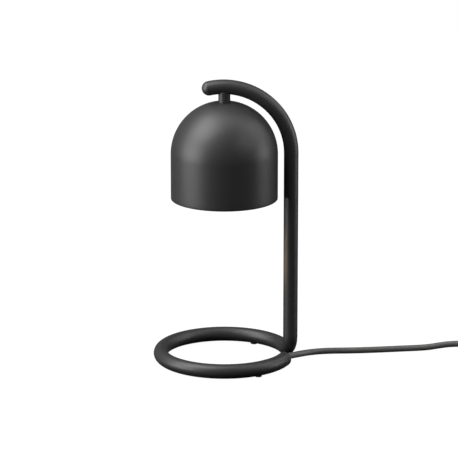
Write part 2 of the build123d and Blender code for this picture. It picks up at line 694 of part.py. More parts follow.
def bulb_lens():
    """The front glass."""
    low = BULB_TOP - BULB_LENGTH
    glass = disc(BULB_DIAMETER / 2, low, low + BULB_LENS)
    return fillet(glass.edges().group_by(Axis.Z)[0], BULB_LENS / 2)


def bulb_capsule():
    """The halogen capsule, with its solid pinch in the reflector's neck."""
    top = BULB_TOP - BULB_BASE_HEIGHT - BULB_GLASS
    r, low = CAPSULE_DIAMETER / 2, top - CAPSULE_LENGTH
    bore = r - CAPSULE_WALL
    glass = disc(r, low + r, top) + Pos(0, 0, low + r) * Sphere(r)
    return glass - disc(bore, low + r, top - CAPSULE_PINCH) - Pos(0, 0, low + r) * Sphere(bore)


def bulb_filament():
    """The filament on its two legs, which hang from the pinch."""
    top = BULB_TOP - BULB_BASE_HEIGHT - BULB_GLASS - CAPSULE_PINCH
    half = (CAPSULE_DIAMETER / 2 - CAPSULE_WALL) / 2
    low = top - (CAPSULE_LENGTH - CAPSULE_PINCH) / 2
    coil = rod((0, 0, low), (0, 0, low + FILAMENT_LENGTH), FILAMENT_DIAMETER / 2)
    for side, height in ((-1, low), (1, low + FILAMENT_LENGTH)):
        foot_z = height + FILAMENT_LEG * side * -1
        coil += disc(FILAMENT_LEG / 2, foot_z, top, side * half)
        coil += rod((side * (half + FILAMENT_LEG / 2), 0, foot_z), (0, 0, foot_z), FILAMENT_LEG / 2)
    return coil


# ---- Lead ----
def corner_radii(route):
    """The arc at each corner: 0.45 of the shorter run over the tangent of half the turn."""
    points, radii = [Vector(*p) for p in route], []
    for before, here, after in zip(points, points[1:], points[2:]):
        turn = (here - before).get_angle(after - here)
        run = min((here - before).length, (after - here).length)
        radii.append(0.45 * run / tan(radians(turn / 2)))
    return radii


def cord_run(name, route):
    """A free stretch of the lead: straight runs joined by tangent arcs."""
    radii = corner_radii(route)
    path = FilletPolyline(*route, radius=radii)
    tube = swept(Wire(path.edges()), CORD_R)
    by_length = pi * CORD_R**2 * path.length
    print(name, "length", round(path.length, 1), "volume ratio", round(tube.volume / by_length, 4))
    print(name, "radii", [round(r) for r in radii])
    return tube


def cord_coil():
    """The outer shape of the wound length."""
    low, high = TIE_THICKNESS, COIL_TOP
    outer, inner = COIL_RADIUS + COIL_WIDTH / 2, COIL_RADIUS - COIL_WIDTH / 2
    coil = disc(outer, low, high) - disc(inner, low, high)
    coil = fillet(coil.edges().filter_by(GeomType.CIRCLE), COIL_ROUNDING)
    return Pos(*COIL_CENTRE, 0) * coil


def coil_tie():
    """The strap round the coil's turns."""
    half, thick = COIL_WIDTH / 2 + TIE_GAP, TIE_THICKNESS
    plan = Pos(COIL_RADIUS, 0, 0)
    deep = (-TIE_WIDTH / 2, TIE_WIDTH / 2)
    band = block((-half - thick, half + thick), deep, (0, COIL_TOP + thick))
    band -= block((-half, half), deep, (thick, COIL_TOP))
    return Pos(*COIL_CENTRE, 0) * Rot(0, 0, TIE_ANGLE) * plan * band


# ---- In-line control, about its own centre ----
def control_plan(inset=0.0):
    """The control's outline, moved in by a wall."""
    return RectangleRounded(CONTROL_LENGTH - 2 * inset, CONTROL_WIDTH - 2 * inset, CONTROL_CORNER - inset)


def control_ends(radius):
    """A bar through both ends of the control along the lead's axis."""
    return rod((-CONTROL_LENGTH, 0, CORD_AXIS), (CONTROL_LENGTH, 0, CORD_AXIS), radius)


def four(offsets):
    """The four mirrored places of a pair of offsets."""
    return [(sx * offsets[0], sy * offsets[1]) for sx in (-1, 1) for sy in (-1, 1)]


def control_base():
    """The lower shell, with pegs for the board, ribs under the lead and screw bosses."""
    shell = extrude(control_plan(), CORD_AXIS)
    shell = fillet(shell.edges().group_by(Axis.Z)[0], CONTROL_BOTTOM_ROUNDING)
    shell -= Pos(0, 0, CONTROL_WALL) * extrude(control_plan(CONTROL_WALL), CORD_AXIS)
    for x, y in four(PEG_PLACES):
        shell += disc(PEG_DIAMETER / 2, CONTROL_WALL, CONTROL_WALL + BOARD_STANDOFF, x, y)
    for side in (-1, 1):
        xs = (side * CLAMP_X - CLAMP_THICKNESS / 2, side * CLAMP_X + CLAMP_THICKNESS / 2)
        shell += block(xs, (-CLAMP_WIDTH / 2, CLAMP_WIDTH / 2), (CONTROL_WALL, CORD_AXIS - CLAMP_GAP))
        for y in (-CLAMP_SCREW_Y, CLAMP_SCREW_Y):
            shell -= disc(CLAMP_SCREW_DIAMETER / 2, CONTROL_WALL, CORD_AXIS, side * CLAMP_X, y)
    for x, y in four(CASE_SCREW_PLACES):
        shell += disc(CASE_BOSS_DIAMETER / 2, CONTROL_WALL, CORD_AXIS, x, y)
        shell -= disc(CASE_SCREW_DIAMETER / 2 + SCREW_CLEARANCE, 0, CORD_AXIS, x, y)
        head_top = CASE_SCREW_SUNK + CASE_SCREW_HEAD_HEIGHT
        shell -= disc(CASE_SCREW_HEAD / 2 + SCREW_CLEARANCE, 0, head_top, x, y)
    inside = CONTROL_EAR - CONTROL_WALL
    ribs_bore = rod((-inside, 0, CORD_AXIS), (inside, 0, CORD_AXIS), CORD_HOLE_R)
    return shell - control_ends(RELIEF_NECK_DIAMETER / 2 + CORD_CLEARANCE) - ribs_bore


def control_cover():
    """The upper shell, with holes for the dial's shaft, the buttons and the light pipes."""
    shell = Pos(0, 0, CORD_AXIS) * extrude(control_plan(), CONTROL_HEIGHT - CORD_AXIS)
    shell = fillet(shell.edges().group_by(Axis.Z)[-1], CONTROL_TOP_ROUNDING)
    shell -= Pos(0, 0, CORD_AXIS) * extrude(control_plan(CONTROL_WALL), CEILING - CORD_AXIS)
    for x, y in four(CASE_SCREW_PLACES):
        shell += disc(CASE_BOSS_DIAMETER / 2, CORD_AXIS, CEILING, x, y)
        shell -= disc(CASE_SCREW_DIAMETER / 2, CORD_AXIS, CASE_SCREW_LENGTH + SCREW_HOLE_SPARE, x, y)
    shell -= disc(SHAFT_DIAMETER / 2 + SHAFT_PLAY, CEILING, CONTROL_HEIGHT, DIAL_X)
    for x in BUTTON_X.values():
        shell -= disc(BUTTON_DIAMETER / 2 + BUTTON_PLAY, CEILING, CONTROL_HEIGHT, x)
    for x in LIGHT_XS:
        shell -= disc(LIGHT_DIAMETER / 2 + CORD_CLEARANCE, CEILING, CONTROL_HEIGHT, x, LIGHT_Y)
    return shell - control_ends(RELIEF_NECK_DIAMETER / 2 + CORD_CLEARANCE)


def case_screws():
    """The four screws that close the control from below."""
    screws = []
    for x, y in four(CASE_SCREW_PLACES):
        low = CASE_SCREW_SUNK
        head = disc(CASE_SCREW_HEAD / 2, low, low + CASE_SCREW_HEAD_HEIGHT, x, y)
        screws.append(head + disc(CASE_SCREW_DIAMETER / 2, low, CASE_SCREW_LENGTH, x, y))
    return screws


def cord_clamps():
    """The two bars that hold the lead down on the ribs."""
    clamps = []
    for side in (-1, 1):
        x = side * CLAMP_X
        xs = (x - CLAMP_THICKNESS / 2, x + CLAMP_THICKNESS / 2)
        bar = block(xs, (-CLAMP_WIDTH / 2, CLAMP_WIDTH / 2), (CORD_AXIS, CORD_AXIS + CLAMP_BAR_HEIGHT))
        for y in (-CLAMP_SCREW_Y, CLAMP_SCREW_Y):
            hole = CLAMP_SCREW_DIAMETER / 2 + SCREW_CLEARANCE
            bar -= disc(hole, CORD_AXIS, CORD_AXIS + CLAMP_BAR_HEIGHT, x, y)
        clamps.append(bar - control_ends(CORD_HOLE_R))
    return clamps


def clamp_screws():
    """The four small screws of the clamp bars."""
    screws, seat = [], CORD_AXIS + CLAMP_BAR_HEIGHT
    for x, y in four((CLAMP_X, CLAMP_SCREW_Y)):
        shank = disc(CLAMP_SCREW_DIAMETER / 2, CONTROL_WALL, seat, x, y)
        screws.append(shank + disc(CLAMP_SCREW_HEAD / 2, seat, seat + CLAMP_SCREW_HEAD_HEIGHT, x, y))
    return screws


def control_relief(side):
    """The strain relief at one end of the control, with a collar inside the shells."""
    wall_out, wall_in = side * CONTROL_EAR, side * (CONTROL_EAR - CONTROL_WALL)
    tip = (side * (CONTROL_EAR + RELIEF_LENGTH), 0, CORD_AXIS)
    sleeve = rod(tip, (wall_out, 0, CORD_AXIS), RELIEF_TIP_DIAMETER / 2, RELIEF_ROOT_DIAMETER / 2)
    sleeve += rod((wall_out, 0, CORD_AXIS), (wall_in, 0, CORD_AXIS), RELIEF_NECK_DIAMETER / 2)
    inner = (wall_in - side * RELIEF_COLLAR, 0, CORD_AXIS)
    sleeve += rod((wall_in, 0, CORD_AXIS), inner, RELIEF_ROOT_DIAMETER / 2)
    return sleeve - rod(tip, inner, CORD_HOLE_R)


def jackets_in_control():
    """The two lead ends inside the reliefs and clamps."""
    tip = CONTROL_EAR + RELIEF_LENGTH
    return [
        rod((side * tip, 0, CORD_AXIS), (side * JACKET_END_X, 0, CORD_AXIS), CORD_R) for side in (-1, 1)
    ]


def control_cores():
    """The four stripped cores, from the jackets down to the board."""
    cores = []
    for side in (-1, 1):
        for y in (-CORE_OFFSET, CORE_OFFSET):
            start = (side * (JACKET_END_X + CORE_DIAMETER), y, CORD_AXIS)
            land = (side * (JACKET_END_X - CORE_RUN), y, BOARD_TOP + CORE_DIAMETER / 2)
            core = rod(start, land, CORE_DIAMETER / 2)
            for jacket in jackets_in_control():
                core -= jacket
            cores.append(core)
    return cores


def control_board():
    """The circuit board on its pegs."""
    xs, ys = (-BOARD_HALF_LENGTH, BOARD_HALF_LENGTH), (-BOARD_HALF_WIDTH, BOARD_HALF_WIDTH)
    return block(xs, ys, (CONTROL_WALL + BOARD_STANDOFF, BOARD_TOP))


def potentiometer():
    """The dimmer's potentiometer, bored for its shaft."""
    half, top = POT_WIDTH / 2, BOARD_TOP + POT_HEIGHT
    body = block((DIAL_X - half, DIAL_X + half), (-half, half), (BOARD_TOP, top))
    return body - disc(SHAFT_DIAMETER / 2 + SHAFT_FIT, BOARD_TOP + POT_FLOOR, top, DIAL_X)


def dimmer_shaft():
    """The shaft from the potentiometer up into the dial."""
    low = BOARD_TOP + POT_FLOOR + SHAFT_FIT
    return disc(SHAFT_DIAMETER / 2, low, DIAL_BASE + SHAFT_GRIP, DIAL_X)


def dimmer_dial():
    """The dial, with a grooved edge and a pointer mark."""
    r, top = DIAL_DIAMETER / 2, DIAL_BASE + DIAL_HEIGHT
    dial = disc(r, DIAL_BASE, top)
    dial = fillet(dial.edges().group_by(Axis.Z)[-1], DIAL_ROUNDING)
    for i in range(DIAL_GROOVES):
        x, y = at(r, 360 * i / DIAL_GROOVES)
        dial -= disc(DIAL_GROOVE_DIAMETER / 2, DIAL_BASE, top, x, y)
    half = DIAL_MARK_WIDTH / 2
    dial -= block((-half, half), (DIAL_MARK_START, r), (top - DIAL_MARK_DEPTH, top))
    return Pos(DIAL_X, 0, 0) * dial - disc(SHAFT_DIAMETER / 2, DIAL_BASE, DIAL_BASE + SHAFT_GRIP, DIAL_X)


def push_button(name):
    """A button cap with its flange under the cover and its stem on the switch."""
    x, flange_top = BUTTON_X[name], CEILING - BUTTON_PLAY
    cap = disc(BUTTON_DIAMETER / 2, flange_top - BUTTON_FLANGE, CONTROL_HEIGHT + BUTTON_PROUD, x)
    cap = fillet(cap.edges().group_by(Axis.Z)[-1], BUTTON_ROUNDING)
    cap += disc(BUTTON_DIAMETER / 2 + BUTTON_LIP, flange_top - BUTTON_FLANGE, flange_top, x)
    return cap + disc(BUTTON_STEM_DIAMETER / 2, PLUNGER_TOP, flange_top, x)


def switch_plunger(name):
    """The moving plunger of a tactile switch."""
    return disc(PLUNGER_DIAMETER / 2, PLUNGER_BASE, PLUNGER_TOP, BUTTON_X[name])


def tactile_switches():
    """The two switch bodies on the board, with room for the plungers' travel."""
    half, top, bodies = TACT_WIDTH / 2, BOARD_TOP + TACT_HEIGHT, []
    for x in BUTTON_X.values():
        body = block((x - half, x + half), (-half, half), (BOARD_TOP, top))
        well = PLUNGER_BASE - BUTTON_TRAVEL - SHAFT_FIT
        bodies.append(body - disc(PLUNGER_DIAMETER / 2 + SHAFT_FIT, well, top, x))
    return bodies


def indicator_leds():
    """Three light-emitting chips under the light pipes."""
    long, wide, tall = LED_SIZE
    ys, zs = (LIGHT_Y - wide / 2, LIGHT_Y + wide / 2), (BOARD_TOP, BOARD_TOP + tall)
    return [block((x - long / 2, x + long / 2), ys, zs) for x in LIGHT_XS]


def light_pipes():
    """Three clear rods from the chips to the cover."""
    low = BOARD_TOP + LED_SIZE[2] + LED_GAP
    return [disc(LIGHT_DIAMETER / 2, low, CONTROL_HEIGHT + LIGHT_PROUD, x, LIGHT_Y) for x in LIGHT_XS]


def triac():
    """The power switch with its metal tab, lying on the board."""
    tab = -PART_EDGE + TRIAC_TAB
    body = block(TRIAC_XS, (tab, tab + TRIAC_DEPTH), (BOARD_TOP, BOARD_TOP + TRIAC_HEIGHT))
    return body + block(TRIAC_XS, (-PART_EDGE, tab), (BOARD_TOP, CEILING - TRIAC_TAB_GAP))


def filter_parts():
    """The capacitor and the wound choke of the dimmer's filter."""
    ys = (PART_EDGE - CAPACITOR_DEPTH, PART_EDGE)
    capacitor = block(CAPACITOR_XS, ys, (BOARD_TOP, BOARD_TOP + CAPACITOR_HEIGHT))
    place = (BOARD_TOP, BOARD_TOP + CHOKE_HEIGHT, CHOKE_X, CHOKE_DIAMETER / 2 - PART_EDGE)
    return [capacitor, disc(CHOKE_DIAMETER / 2, *place) - disc(CHOKE_BORE / 2, *place)]


# ---- Plug, which points along -X ----
def plug_line(depth):
    """A point on the plug's axis, at a depth from the relief's tip."""
    return PLUG_TIP[0] - depth, PLUG_TIP[1], PLUG_AXIS


def plug_body():
    """The moulded plug, tapered towards the lead, with pockets for the blades and the jacket."""
    back = PLUG_TIP[0] - PLUG_RELIEF_LENGTH
    front = back - PLUG_LENGTH
    waist = back - PLUG_TAPER_LENGTH
    centre = Plane(origin=(waist, PLUG_TIP[1], PLUG_AXIS), x_dir=(0, 1, 0), z_dir=(1, 0, 0))
    outline = RectangleRounded(PLUG_WIDTH, PLUG_HEIGHT, PLUG_CORNER)
    body = extrude(centre * outline, -(waist - front))
    body += extrude(centre * outline, PLUG_TAPER_LENGTH, taper=PLUG_TAPER)
    pocket_end = plug_line(PLUG_RELIEF_LENGTH + PLUG_CORD_DEPTH)
    body -= rod(plug_line(PLUG_RELIEF_LENGTH), pocket_end, CORD_HOLE_R)
    for blade in plug_blades():
        body -= blade
    return body


def plug_blades():
    """The two flat blades."""
    front = PLUG_TIP[0] - PLUG_RELIEF_LENGTH - PLUG_LENGTH
    half, blades = BLADE_THICKNESS / 2, []
    for side in (-1, 1):
        y = PLUG_TIP[1] + side * BLADE_SPACING / 2
        blades.append(
            block(
                (front - BLADE_LENGTH, front + BLADE_ROOT),
                (y - half, y + half),
                (PLUG_AXIS - BLADE_WIDTH / 2, PLUG_AXIS + BLADE_WIDTH / 2),
            )
        )
    return blades


def plug_relief():
    """The plug's tapered strain relief."""
    tip, root = plug_line(0), plug_line(PLUG_RELIEF_LENGTH)
    sleeve = rod(tip, root, RELIEF_TIP_DIAMETER / 2, RELIEF_ROOT_DIAMETER / 2)
    return sleeve - rod(tip, root, CORD_HOLE_R)


def jacket_in_plug():
    """The lead's end inside the plug and its relief."""
    return rod(plug_line(0), plug_line(PLUG_RELIEF_LENGTH + PLUG_CORD_DEPTH), CORD_R)


# ---- All sub-parts ----
def placed(shape):
    """A piece of the control, moved from the control's centre to its place on the lead."""
    return Pos(*CONTROL_CENTRE, 0) * shape


def group(shapes):
    """Several separate solids as one sub-part."""
    return Compound(children=[s for shape in shapes for s in shape.solids()])


def main():
    os.makedirs("parts", exist_ok=True)
    lamp = {
        "frame_tube": frame_tube(),
        "arm_end_cap": arm_end_cap(),
        "ring_end_bushing": ring_end_bushing(),
        "cord_grip": cord_grip(),
        "jacket_in_ring": jacket_in_ring(),
        "lead_wires": group(lead_wires()),
        "crimp_sleeves": group(crimps()),
        "holder_tails": group(holder_tails()),
        "shade_stem": shade_stem(),
        "threaded_nipple": threaded_nipple(),
        "shade_shell": shade_shell(),
        "shade_washer": shade_washer(),
        "lock_nuts": group(lock_nuts()),
        "holder_bracket": holder_bracket(),
        "holder_screws": group(holder_screws()),
        "lamp_holder": lamp_holder(),
        "holder_contacts": group(holder_contacts()),
        "bulb_base": bulb_base(),
        "bulb_pins": group(bulb_pins()),
        "bulb_reflector": bulb_reflector(),
        "bulb_lens": bulb_lens(),
        "bulb_capsule": bulb_capsule(),
        "bulb_filament": bulb_filament(),
    }
    for name, angle in FOOT_ANGLES.items():
        lamp[f"foot_{name}"] = foot(angle)
    control = {
        "control_base": control_base(),
        "control_cover": control_cover(),
        "control_screws": group(case_screws()),
        "cord_clamps": group(cord_clamps()),
        "clamp_screws": group(clamp_screws()),
        "relief_lamp_side": control_relief(-1),
        "relief_plug_side": control_relief(1),
        "jackets_in_control": group(jackets_in_control()),
        "control_cores": group(control_cores()),
        "control_board": control_board(),
        "potentiometer": potentiometer(),
        "dimmer_shaft": dimmer_shaft(),
        "dimmer_dial": dimmer_dial(),
        "tactile_switches": group(tactile_switches()),
        "indicator_leds": group(indicator_leds()),
        "light_pipes": group(light_pipes()),
        "triac": triac(),
        "filter_parts": group(filter_parts()),
    }
    for name in BUTTON_X:
        control[f"{name}_button"] = push_button(name)
        control[f"{name}_plunger"] = switch_plunger(name)
    lead = {
        "cord_lamp_run": cord_run("cord_lamp_run", LAMP_ROUTE),
        "cord_control_run": cord_run("cord_control_run", CONTROL_ROUTE),
        "cord_coil": cord_coil(),
        "cord_plug_run": cord_run("cord_plug_run", PLUG_ROUTE),
        "coil_tie": coil_tie(),
        "plug_relief": plug_relief(),
        "jacket_in_plug": jacket_in_plug(),
        "plug_body": plug_body(),
        "plug_blades": group(plug_blades()),
    }
    print("coil length", round(COIL_TURNS * 2 * pi * COIL_RADIUS, 1))
    for name, shape in lamp.items():
        save(name, shape)
    for name, shape in control.items():
        save(name, placed(shape))
    for name, shape in lead.items():
        save(name, shape)


main()
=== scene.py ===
"""A candle warmer lamp, dressed and lit in the lamp's own frame.

Everything is in metres. The origin is on the table under the shade's axis, +Z is up and +X
points at the upright. The mains lead leaves the open end of the ring towards +X.
"""

import logging
from dataclasses import dataclass, field
from enum import Enum
from math import acos, asin, atan2, cos, degrees, hypot, pi, radians, sin
from typing import Iterable, Optional, Sequence, Union

import bmesh
import bpy
from mathutils import Matrix, Vector

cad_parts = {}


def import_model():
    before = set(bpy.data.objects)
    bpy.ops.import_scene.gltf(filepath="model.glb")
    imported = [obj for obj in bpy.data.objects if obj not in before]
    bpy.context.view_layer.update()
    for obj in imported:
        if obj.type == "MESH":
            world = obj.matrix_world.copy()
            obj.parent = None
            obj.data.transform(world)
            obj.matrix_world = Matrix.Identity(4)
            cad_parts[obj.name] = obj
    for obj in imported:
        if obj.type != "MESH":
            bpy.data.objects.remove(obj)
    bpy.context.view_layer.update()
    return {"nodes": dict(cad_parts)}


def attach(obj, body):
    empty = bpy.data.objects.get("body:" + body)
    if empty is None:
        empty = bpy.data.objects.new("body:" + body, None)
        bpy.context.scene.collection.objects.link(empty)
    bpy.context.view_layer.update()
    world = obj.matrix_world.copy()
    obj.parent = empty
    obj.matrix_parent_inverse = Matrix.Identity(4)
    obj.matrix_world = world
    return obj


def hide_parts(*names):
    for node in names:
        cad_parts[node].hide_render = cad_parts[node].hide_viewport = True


LOG = logging.getLogger("candle_warmer_lamp")
MM = 0.001
FULL_TURN = 2 * pi

Point = Sequence[float]
Outline = list[tuple[float, float]]
Strokes = list[tuple[Outline, float]]
Colour = tuple[float, float, float, float]


class Body(Enum):
    """The rigid bodies of the frame."""

    LAMP = "lamp"
    BULB = "bulb"
    DIAL = "dial"
    POWER = "power"
    TIMER = "timer"


class Slot(Enum):
    """Names of material slots, one listed for each new piece."""

    COAT = "powder_coat"
    MOULDING = "black_moulding"
    RUBBER = "soft_rubber"
    CAP = "button_cap"
    LEAD = "cord_jacket"
    STEEL = "plated_steel"
    CONTACT = "contact_metal"
    MIRROR = "mirrored_glass"
    GLASS = "clear_glass"


# ---- Shader graphs ----
class Signal:
    """A shader socket that takes part in arithmetic.

    Args:
        graph: The graph that the socket belongs to.
        socket: The output socket.
    """

    def __init__(self, graph: "Graph", socket: bpy.types.NodeSocket) -> None:
        """Keeps the graph and the socket."""
        self.graph = graph
        self.socket = socket

    def _maths(self, operation: str, first: "Feed", second: "Feed") -> "Signal":
        """Adds the Math node of one operation."""
        return self.graph.node("ShaderNodeMath", {"operation": operation}, {0: first, 1: second})

    def __add__(self, other: "Feed") -> "Signal":
        """The sum."""
        return self._maths("ADD", self, other)

    __radd__ = __add__

    def __sub__(self, other: "Feed") -> "Signal":
        """The difference."""
        return self._maths("SUBTRACT", self, other)

    def __rsub__(self, other: "Feed") -> "Signal":
        """The difference, with the signal second."""
        return self._maths("SUBTRACT", other, self)

    def __mul__(self, other: "Feed") -> "Signal":
        """The product."""
        return self._maths("MULTIPLY", self, other)

    __rmul__ = __mul__

    def size(self) -> "Signal":
        """The signal without its sign."""
        return self._maths("ABSOLUTE", self, 0.0)

    def above(self, limit: "Feed") -> "Signal":
        """One where the signal is over a limit, and zero elsewhere."""
        return self._maths("GREATER_THAN", self, limit)

    def ramp(self, low: float, high: float) -> "Signal":
        """The signal's way from low to high, from zero to one and no further."""
        inputs = {"Value": self, "From Min": low, "From Max": high}
        return self.graph.node("ShaderNodeMapRange", {"clamp": True}, inputs)


Feed = Union[Signal, float, Sequence[float]]
Named = Optional[dict[Union[int, str], object]]


class Graph:
    """The shader nodes of one material, or of the room's light."""

    def __init__(self, owner: Union[bpy.types.Material, bpy.types.World]) -> None:
        """Gives the owner an empty graph.

        Args:
            owner: The material or the world.
        """
        owner.use_nodes = True
        self.tree = owner.node_tree
        self.tree.nodes.clear()

    def fed(self, kind: str, settings: Named, inputs: Named) -> bpy.types.Node:
        """Adds one node and feeds it.

        Args:
            kind: The node's type.
            settings: The node's own properties, set before its sockets.
            inputs: What feeds each input, by the socket's name or number.

        Returns:
            The node.
        """
        made = self.tree.nodes.new(kind)
        for name, value in (settings or {}).items():
            setattr(made, name, value)
        for name, value in (inputs or {}).items():
            if isinstance(value, Signal):
                self.tree.links.new(value.socket, made.inputs[name])
            else:
                made.inputs[name].default_value = value
        return made

    def node(self, kind: str, settings: Named = None, inputs: Named = None,
             output: Union[int, str] = 0) -> Signal:
        """Adds one node, and gives the output that is asked for by name or number."""
        return Signal(self, self.fed(kind, settings, inputs).outputs[output])

    def place(self) -> Signal:
        """The point on the object."""
        return self.node("ShaderNodeTexCoord", output="Object")

    def noise(self, where: Signal, size: float, detail: float = 2.0, rough: float = 0.5) -> Signal:
        """Cloudy noise whose features have about one size."""
        inputs = {"Vector": where, "Scale": 1 / size, "Detail": detail, "Roughness": rough}
        return self.node("ShaderNodeTexNoise", None, inputs, "Fac")

    def cells(self, where: Signal, size: float) -> Signal:
        """Cell noise: the distance to the nearest cell's centre."""
        return self.node("ShaderNodeTexVoronoi", None, {"Vector": where, "Scale": 1 / size}, "Distance")

    def blend(self, factor: Feed, first: Feed, second: Feed) -> Signal:
        """A colour between two colours."""
        inputs = {0: factor, 6: first, 7: second}
        return self.node("ShaderNodeMix", {"data_type": "RGBA"}, inputs, 2)

    def bump(self, height: Signal, depth: float) -> Signal:
        """The normal of a surface with a small relief."""
        return self.node("ShaderNodeBump", None, {"Strength": 1.0, "Distance": depth, "Height": height})

    def surface(self, **inputs: Feed) -> None:
        """Ends the graph in one principled shader.

        Args:
            inputs: What feeds each input, named with _ for a space.
        """
        named = {name.replace("_", " "): value for name, value in inputs.items()}
        self.end(self.node("ShaderNodeBsdfPrincipled", None, named))

    def end(self, shader: Signal, kind: str = "ShaderNodeOutputMaterial") -> None:
        """Joins a shader to the output."""
        self.fed(kind, None, {"Surface": shader})


def grey(value: float, warmth: float = 0.0) -> Colour:
    """A grey in linear light, made warmer by a share of its red and blue."""
    return (value * (1 + warmth), value, value * (1 - warmth), 1.0)


# ---- Finishes ----
@dataclass(frozen=True)
class Finish:
    """A finish that a maker would name. Each kind says how its surface is shaded.

    Args:
        name: The material's name.
    """

    name: str

    def shade(self, graph: Graph) -> None:
        """Fills the graph, as each kind of finish does in its own way."""
        raise NotImplementedError(self.name)

    def material(self) -> bpy.types.Material:
        """Makes the material when it is first asked for.

        Returns:
            The finish's one material.
        """
        known = bpy.data.materials.get(self.name)
        if known is None:
            known = bpy.data.materials.new(self.name)
            self.shade(Graph(known))
        return known


@dataclass(frozen=True)
class PowderCoat(Finish):
    """Baked powder with a fine orange peel.

    Args:
        shadow: The coat's darker grey.
        light: The coat's lighter grey.
        roughness: How dull the coat is.
        peel: Size of the peel's grains.
        depth: Height of the peel.
        cloud: Size of the slow clouds in its gloss.
    """

    shadow: float = 0.018
    light: float = 0.024
    roughness: float = 0.49
    peel: float = 0.45 * MM
    depth: float = 0.005 * MM
    cloud: float = 40 * MM

    def shade(self, graph: Graph) -> None:
        """Shades a dull coat: grains of two sizes in its relief, and slow clouds in its gloss.

        Args:
            graph: The material's empty graph.
        """
        where = graph.place()
        fine = graph.noise(where, self.peel, 3.0, 0.6)
        coarse = graph.noise(where, 4 * self.peel, 2.0)
        clouds = graph.noise(where, self.cloud, 2.0)
        graph.surface(
            Base_Color=graph.blend(fine, grey(self.shadow), grey(self.light, 0.01)),
            Roughness=self.roughness + 0.05 * clouds + 0.04 * fine,
            Specular_IOR_Level=0.5,
            Normal=graph.bump(fine + 0.6 * coarse, self.depth),
        )


@dataclass(frozen=True)
class Moulding(Finish):
    """Moulded plastic or rubber with a spark-eroded grain.

    Args:
        shadow: The darker colour.
        light: The lighter colour.
        roughness: How dull the moulding is.
        grain: Size of the grain.
        depth: Height of the grain.
        gloss: Strength of its reflections.
        parting: Height of the line where two halves meet, or 0 for none.
        patch: Size of the patches that hands have polished.
    """

    shadow: Colour = grey(0.016)
    light: Colour = grey(0.024)
    roughness: float = 0.5
    grain: float = 0.35 * MM
    depth: float = 0.012 * MM
    gloss: float = 0.5
    parting: float = 0.0
    patch: float = 14 * MM

    def shade(self, graph: Graph) -> None:
        """Shades the grain in two colours and in relief, with polished patches and the parting line.

        Args:
            graph: The material's empty graph.
        """
        where = graph.place()
        grain = graph.cells(where, self.grain)
        patches = graph.noise(where, self.patch, 3.0)
        colour = graph.blend(grain, self.shadow, self.light)
        relief = grain
        if self.parting:
            height = graph.node("ShaderNodeSeparateXYZ", None, {"Vector": where}, "Z")
            land = (height - self.parting).size().ramp(0.1 * MM, 0.3 * MM)
            colour = graph.blend(land, grey(0.001), colour)
            relief = grain + 12.0 * land
        graph.surface(
            Base_Color=colour,
            Roughness=self.roughness - 0.06 + 0.12 * patches,
            Specular_IOR_Level=self.gloss,
            Normal=graph.bump(relief, self.depth),
        )


@dataclass(frozen=True)
class Jacket(Finish):
    """The extruded jacket of a mains lead.

    Args:
        shadow: The darker grey.
        light: The lighter grey.
        roughness: How dull the jacket is.
        wave: Size of its uneven patches.
        tooth: Size of its fine grain.
        depth: Height of the grain.
    """

    shadow: float = 0.066
    light: float = 0.088
    roughness: float = 0.42
    wave: float = 9 * MM
    tooth: float = 0.5 * MM
    depth: float = 0.01 * MM

    def shade(self, graph: Graph) -> None:
        """Shades a slightly uneven grey with a fine relief.

        Args:
            graph: The material's empty graph.
        """
        where = graph.place()
        wave = graph.noise(where, self.wave, 3.0)
        fine = graph.noise(where, self.tooth, 2.0)
        graph.surface(
            Base_Color=graph.blend(wave, grey(self.shadow), grey(self.light, 0.02)),
            Roughness=self.roughness + 0.12 * wave,
            Normal=graph.bump(fine + 0.5 * wave, self.depth),
        )


@dataclass(frozen=True)
class Metal(Finish):
    """Bare or plated metal.

    Args:
        tone: The metal's colour.
        dull: A duller colour in its patches.
        roughness: How dull it is.
        glow: Light that it gives by itself.
        patch: Size of its patches.
        tooth: Size of its fine grain.
        depth: Height of the grain.
    """

    tone: Colour
    dull: Colour
    roughness: float
    glow: float = 0.0
    patch: float = 2.5 * MM
    tooth: float = 0.15 * MM
    depth: float = 0.002 * MM

    EMBER = (1.0, 0.62, 0.3, 1.0)  # the colour of its own light

    def shade(self, graph: Graph) -> None:
        """Shades patches of tarnish and a fine tooth.

        Args:
            graph: The material's empty graph.
        """
        where = graph.place()
        patches = graph.noise(where, self.patch, 3.0)
        tooth = graph.noise(where, self.tooth, 2.0)
        graph.surface(
            Base_Color=graph.blend(patches, self.dull, self.tone),
            Metallic=1.0,
            Roughness=self.roughness + 0.12 * patches,
            Emission_Color=self.EMBER,
            Emission_Strength=self.glow,
            Normal=graph.bump(tooth, self.depth),
        )


@dataclass(frozen=True)
class Ceramic(Finish):
    """Unglazed steatite.

    Args:
        shadow: The darker white.
        light: The lighter white.
        speck: Size of its specks.
        depth: Height of its chalky relief.
    """

    shadow: Colour = grey(0.62, 0.05)
    light: Colour = grey(0.78, 0.04)
    speck: float = 0.7 * MM
    depth: float = 0.03 * MM

    def shade(self, graph: Graph) -> None:
        """Shades an off-white with faint specks and a chalky relief.

        Args:
            graph: The material's empty graph.
        """
        specks = graph.noise(graph.place(), self.speck, 4.0, 0.7)
        graph.surface(
            Base_Color=graph.blend(specks, self.shadow, self.light),
            Roughness=0.55 + 0.2 * specks,
            Normal=graph.bump(specks, self.depth),
        )


